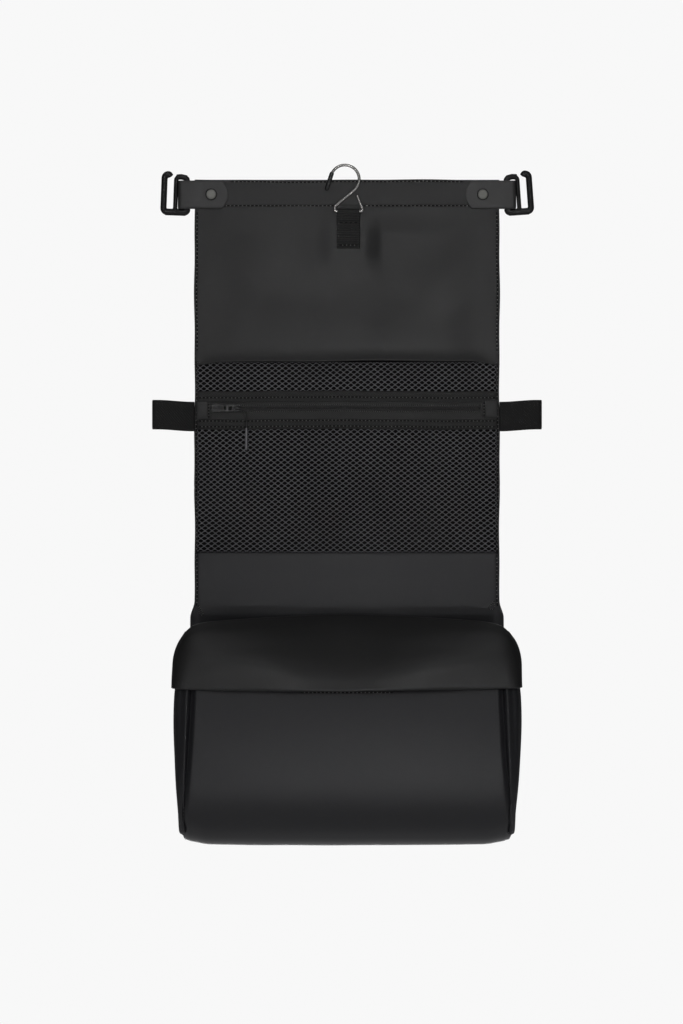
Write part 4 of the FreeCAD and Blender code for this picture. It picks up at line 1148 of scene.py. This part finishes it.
for side, sgn in (("left", -1), ("right", 1)):
    G = []
    for lz, pts in levels.items():
        dz = zz_top.get(lz, [0] * 7)
        G.append([(sgn * x_, y_, lz + e) for (x_, y_), e in zip(pts, dz)])
    # last row: on the seam with the bottom
    G.append([(sgn * x_, y_, z_) for x_, y_, z_ in
              [(131.6, 0.4, -569.6), (136.0, -19.0, -576.8), (137.3, -41.0, -577.8), (138.2, -58.0, -576.6), (139.0, -70.0, -574.4), (139.4, -75.0, -572.6), (139.9, -79.0, -570.6)]])
    for row in G[:-1]:
        a_ = row[5]
        row[5] = (a_[0] + sgn * 1.6, a_[1] + 2.2, a_[2])
        row.insert(6, (a_[0] - sgn * 2.6, a_[1] - 1.1, a_[2]))
        b_ = row[0]
        row.insert(0, (sgn * 131.8, 4.3, b_[2]))
    a_, b_ = G[-1][5], G[-1][6]
    G[-1].insert(6, tuple((a_[k] + b_[k]) / 2 for k in range(3)))
    G[-1].insert(0, (sgn * 130.4, 3.6, G[-1][0][2] + 1.0))
    # its front and bottom edges lie on the edge of the front cloth
    E = front_P[:, 0 if sgn < 0 else -1]
    half_n = int(np.argmin(E[:, 2]))
    for row in G[:-1]:
        z_ = row[-1][2]
        k = int(np.argmin(np.abs(E[:half_n + 1, 2] - z_))) if z_ < -447.5 else 0
        if z_ < -447.5:
            row[-1] = (E[k, 0] - sgn * 0.5, E[k, 1] + 0.2, z_)
    for c_, p_ in enumerate(G[-1]):
        if c_ == 0:
            continue
        low_part = E[int(half_n * 0.55):]
        k = int(np.argmin(np.abs(low_part[:, 1] - p_[1])))
        G[-1][c_] = (low_part[k, 0] - sgn * 0.5, p_[1], low_part[k, 2] + 0.3)
    Q = refine(np.array(G), 6, 8)
    # soft upright folds in the side, and a little unevenness
    n = normals(Q) * sgn
    fold = 0.9 * np.sin(Q[..., 1] / 11.0 + 0.8 * sgn) * np.exp(-((Q[..., 2] + 470.0) / 60.0) ** 2) * sm((Q[..., 1] + 90) / 20) * sm((-Q[..., 1]) / 20)
    Q = Q - n * (fold + 0.35 * waves(Q[..., 1] * 1.3, Q[..., 2], 41 + sgn, 60.0))[..., None] * np.array([1, 0.3, 0.1])
    g = skin("gusset_%s_cloth" % side, Q, 1.3, M_POUCH, "pouch", side=sgn)
    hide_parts("gusset_" + side)
    seam_line = Q[:, -4]
    pick = seam_line[(seam_line[:, 2] < -546) & (seam_line[:, 2] > -577)]
    if len(pick) > 3:
        sew("pouch", pick + np.array([sgn * 0.1, -0.2, 0]), FRONT, pitch=3.2, dash=2.2)

# neck under the collar
neck = [[(-132.6, -80.2, -399.2), (-66.5, -55.3, -393.2), (0, -30.5, -387.2), (66.5, -55.3, -393.2), (132.6, -80.2, -399.2)],
        [(-132.6, -87.5, -422.0), (-76.0, -82.0, -415.4), (0, -63.0, -415.4), (76.0, -82.0, -415.4), (132.6, -87.5, -422.0)],
        [(-132.6, -95.0, -447.6), (-70.0, -97.0, -447.2), (0, -97.6, -447.0), (70.0, -97.0, -447.2), (132.6, -95.0, -447.6)]]
Q = relax(refine(np.array(neck), 12, 14), 6)
nk = skin("neck_cloth", Q, 1.0, M_POUCH, "pouch", side=-1)
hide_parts("front_neck")

# ====================================================================== collar
# One cuff round the mouth. Columns run from the left wing's back end round the
# front to the right wing's back end; rows run down from the folded rim.
half_cols = [  # for each column from the back end of a side to the middle of the front, five points going down
    [(135.4, 2.2, -399.6), (137.6, 2.2, -410.0), (138.8, 2.2, -421.0), (139.6, 2.2, -433.0), (140.0, 2.2, -444.0)],
    [(137.0, -20, -399.8), (141.8, -20, -409.5), (144.2, -20, -421.0), (145.4, -20, -433.4), (145.8, -20, -445.0)],
    [(138.4, -44, -399.8), (144.6, -44, -409.5), (147.8, -44, -421.0), (148.8, -44, -434.0), (149.0, -44, -446.2)],
    [(138.9, -63, -399.8), (145.4, -65, -410.0), (148.9, -66, -421.4), (149.7, -67, -434.6), (149.8, -68, -447.0)],
    [(137.9, -76, -399.2), (143.9, -81, -410.0), (147.4, -84.6, -422.0), (148.7, -87.4, -435.0), (149.2, -89.4, -447.4)],
    [(132.0, -80.6, -394.8), (136.6, -89.6, -405.2), (139.6, -94.8, -420.0), (141.6, -96.8, -434.8), (142.8, -97.4, -448.0)],
    [(119.0, -78.4, -391.4), (122.4, -91.6, -402.6), (124.8, -98.6, -418.0), (125.8, -100.0, -434.0), (126.4, -98.8, -448.6)],
    [(98.0, -70.4, -389.6), (99.6, -86.6, -401.0), (101.0, -98.4, -414.8), (101.6, -102.8, -427.0), (102.0, -100.8, -449.0)],
    [(72.0, -60.0, -388.0), (73.0, -76.6, -398.4), (74.0, -91.8, -411.4), (74.4, -104.0, -426.5), (74.6, -102.0, -449.2)],
    [(46.0, -48.6, -386.6), (46.6, -64.8, -396.4), (47.0, -81.4, -409.0), (47.4, -102.0, -430.0), (47.6, -103.8, -449.4)],
    [(22.0, -38.4, -385.6), (22.2, -54.2, -395.4), (22.6, -71.4, -408.4), (22.8, -98.4, -432.6), (23.0, -103.4, -449.6)],
    [(0.0, -34.2, -385.2), (0.0, -49.6, -395.2), (0.0, -66.8, -408.5), (0.0, -97.4, -434.4), (0.0, -103.2, -449.8)],
]
right = np.array(half_cols, float)                       # (12 cols, 5 rows, 3)
left = right[::-1].copy()
left[..., 0] *= -1
grid = np.concatenate([right[:-1], left], 0)             # right wing to left wing
grid = np.swapaxes(grid, 0, 1)                           # rows, columns
grid = grid[:, ::-1]                                     # left to right
Q = refine(grid, 9, 7)
# softness: small dents beside the ridges, a wavy lower edge
n = normals(Q) * -1
x, z = Q[..., 0], Q[..., 2]
low = sm((-z - 425.0) / 24.0)
soft = 0.55 * waves(x, z * 1.2, 51, 70.0) + 0.25 * waves(x, z, 52, 30.0)
Q = Q + n * soft[..., None] * (0.25 + 0.75 * sm((-z - 392) / 16.0))[..., None]
Q[..., 2] += low * (0.5 * np.sin(x / 44.0 + 0.4) + 0.9 * sm((x - 60) / 80.0))
# the fold at the rim: over the top and a little way down inside
rim = Q[0]
inward_dir = np.zeros_like(rim)
inward_dir[:, 0] = -np.sign(rim[:, 0]) * sm((np.abs(rim[:, 0]) - 128) / 10)
inward_dir[:, 1] = 1 - sm((np.abs(rim[:, 0]) - 132.0) / 6)
inward_dir /= np.maximum(np.linalg.norm(inward_dir, axis=1, keepdims=True), 1e-6)
roll = []
for a, dn in ((1.9, -7.5), (1.85, -4.0), (1.75, -1.4), (1.35, -0.1), (0.7, 0.55)):
    q = rim + inward_dir * a
    q[:, 2] += dn
    roll.append(q)
Q = np.concatenate([np.array(roll), Q], 0)
col = skin("collar_cloth", Q, 1.0, M_CLOTH, "collar", side=-1)
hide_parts("collar_front", "collar_left", "collar_right")

# ==================================================================== threads
for body, heap in thread.items():
    o = heap.make("stitching_" + body, M_THREAD, body)
# the pale pieces between the stitches: painted highlight (painted glints)
for body, heap in glint_heaps.items():
    o = heap.make("painted_stitch_glints_" + body, M_PAINTED_GLINT, body)

# ================================================================ lights, stage
world = bpy.data.worlds.new("studio")
scene.world = world
world.use_nodes = True
wn, wl = world.node_tree.nodes, world.node_tree.links
bg = wn["Background"]
bg.inputs["Color"].default_value = (0.95, 0.95, 0.965, 1)
way_to = wn.new("ShaderNodeTexCoord")
split = wn.new("ShaderNodeSeparateXYZ")
wl.new(way_to.outputs["Generated"], split.inputs[0])
ahead = wn.new("ShaderNodeMapRange")
for key, v in (("From Min", 0.45), ("From Max", -0.2), ("To Min", 0.0), ("To Max", 1.0)):
    ahead.inputs[key].default_value = v
wl.new(split.outputs["Y"], ahead.inputs["Value"])
aside = wn.new("ShaderNodeMath")
aside.operation = "ABSOLUTE"
wl.new(split.outputs["X"], aside.inputs[0])
off = wn.new("ShaderNodeMapRange")
for key, v in (("From Min", 0.85), ("From Max", 0.25), ("To Min", 0.10), ("To Max", 0.50)):
    off.inputs[key].default_value = v
wl.new(aside.outputs[0], off.inputs["Value"])
power = wn.new("ShaderNodeMath")
power.operation = "MULTIPLY_ADD"
power.inputs[2].default_value = 0.035
wl.new(ahead.outputs["Result"], power.inputs[0])
wl.new(off.outputs["Result"], power.inputs[1])
wl.new(power.outputs[0], bg.inputs["Strength"])
seen = wn.new("ShaderNodeBackground")
seen.inputs["Color"].default_value = (0.938, 0.938, 0.938, 1)
seen.inputs["Strength"].default_value = 1.0
lp = wn.new("ShaderNodeLightPath")
mx = wn.new("ShaderNodeMixShader")
wl.new(lp.outputs["Is Camera Ray"], mx.inputs["Fac"])
wl.new(bg.outputs[0], mx.inputs[1])
wl.new(seen.outputs[0], mx.inputs[2])
wl.new(mx.outputs[0], wn["World Output"].inputs["Surface"])


def light(name, loc, target, size, power, color=(1, 1, 1), size_y=None, spread=180):
    ld = bpy.data.lights.new(name, "AREA")
    ld.shape = "RECTANGLE"
    ld.size = size
    ld.size_y = size_y or size
    ld.energy = power
    ld.spread = math.radians(spread)
    ld.color = color
    o = bpy.data.objects.new(name, ld)
    scene.collection.objects.link(o)
    o.location = loc
    o.visible_camera = False
    o.rotation_euler = (Vector(target) - Vector(loc)).to_track_quat("-Z", "Y").to_euler()
    return o


light("key_top", (0.0, -2.6, 1.35), (0, 0, -0.28), 1.7, 2.6, size_y=0.9)
light("front_left", (-1.25, -2.9, -0.1), (0, 0, -0.3), 1.1, 1.4, size_y=1.7)
light("front_right", (1.35, -2.9, -0.15), (0, 0, -0.3), 1.1, 1.6, size_y=1.7)
light("front_low", (0.1, -3.0, -1.35), (0, 0, -0.35), 1.5, 2.6, size_y=0.6)
light("spot_high", (0.08, -3.2, 0.30), (0.02, 0, -0.13), 0.32, 0.035, size_y=0.28, spread=9)
light("spot_low", (0.08, -3.2, -0.92), (0.025, 0, -0.49), 0.32, 0.036, size_y=0.28, spread=9)
light("behind_high", (0.0, 2.8, 1.5), (0, 0, -0.3), 1.6, 22, size_y=0.8)
light("behind_low", (0.0, 3.0, -1.02), (0, 0, -0.3), 1.2, 6, size_y=0.1)

pale = bpy.data.materials.new("pale_floor")
pale.use_nodes = True
pn, pl = pale.node_tree.nodes, pale.node_tree.links
glow = pn.new("ShaderNodeEmission")
glow.inputs["Color"].default_value = (0.938, 0.938, 0.938, 1)
dull = pn.new("ShaderNodeEmission")
dull.inputs["Color"].default_value = (0.42, 0.42, 0.425, 1)
ray = pn.new("ShaderNodeLightPath")
both = pn.new("ShaderNodeMixShader")
pl.new(ray.outputs["Is Camera Ray"], both.inputs["Fac"])
pl.new(dull.outputs[0], both.inputs[1])
pl.new(glow.outputs[0], both.inputs[2])
pl.new(both.outputs[0], pn["Material Output"].inputs["Surface"])
floor = make("floor", [(-2500, -2500, -1100), (2500, -2500, -1100), (2500, 2500, -1100), (-2500, 2500, -1100)], [[0, 1, 2, 3]], pale, None)

scene.view_settings.view_transform = "Standard"
scene.view_settings.look = "None"
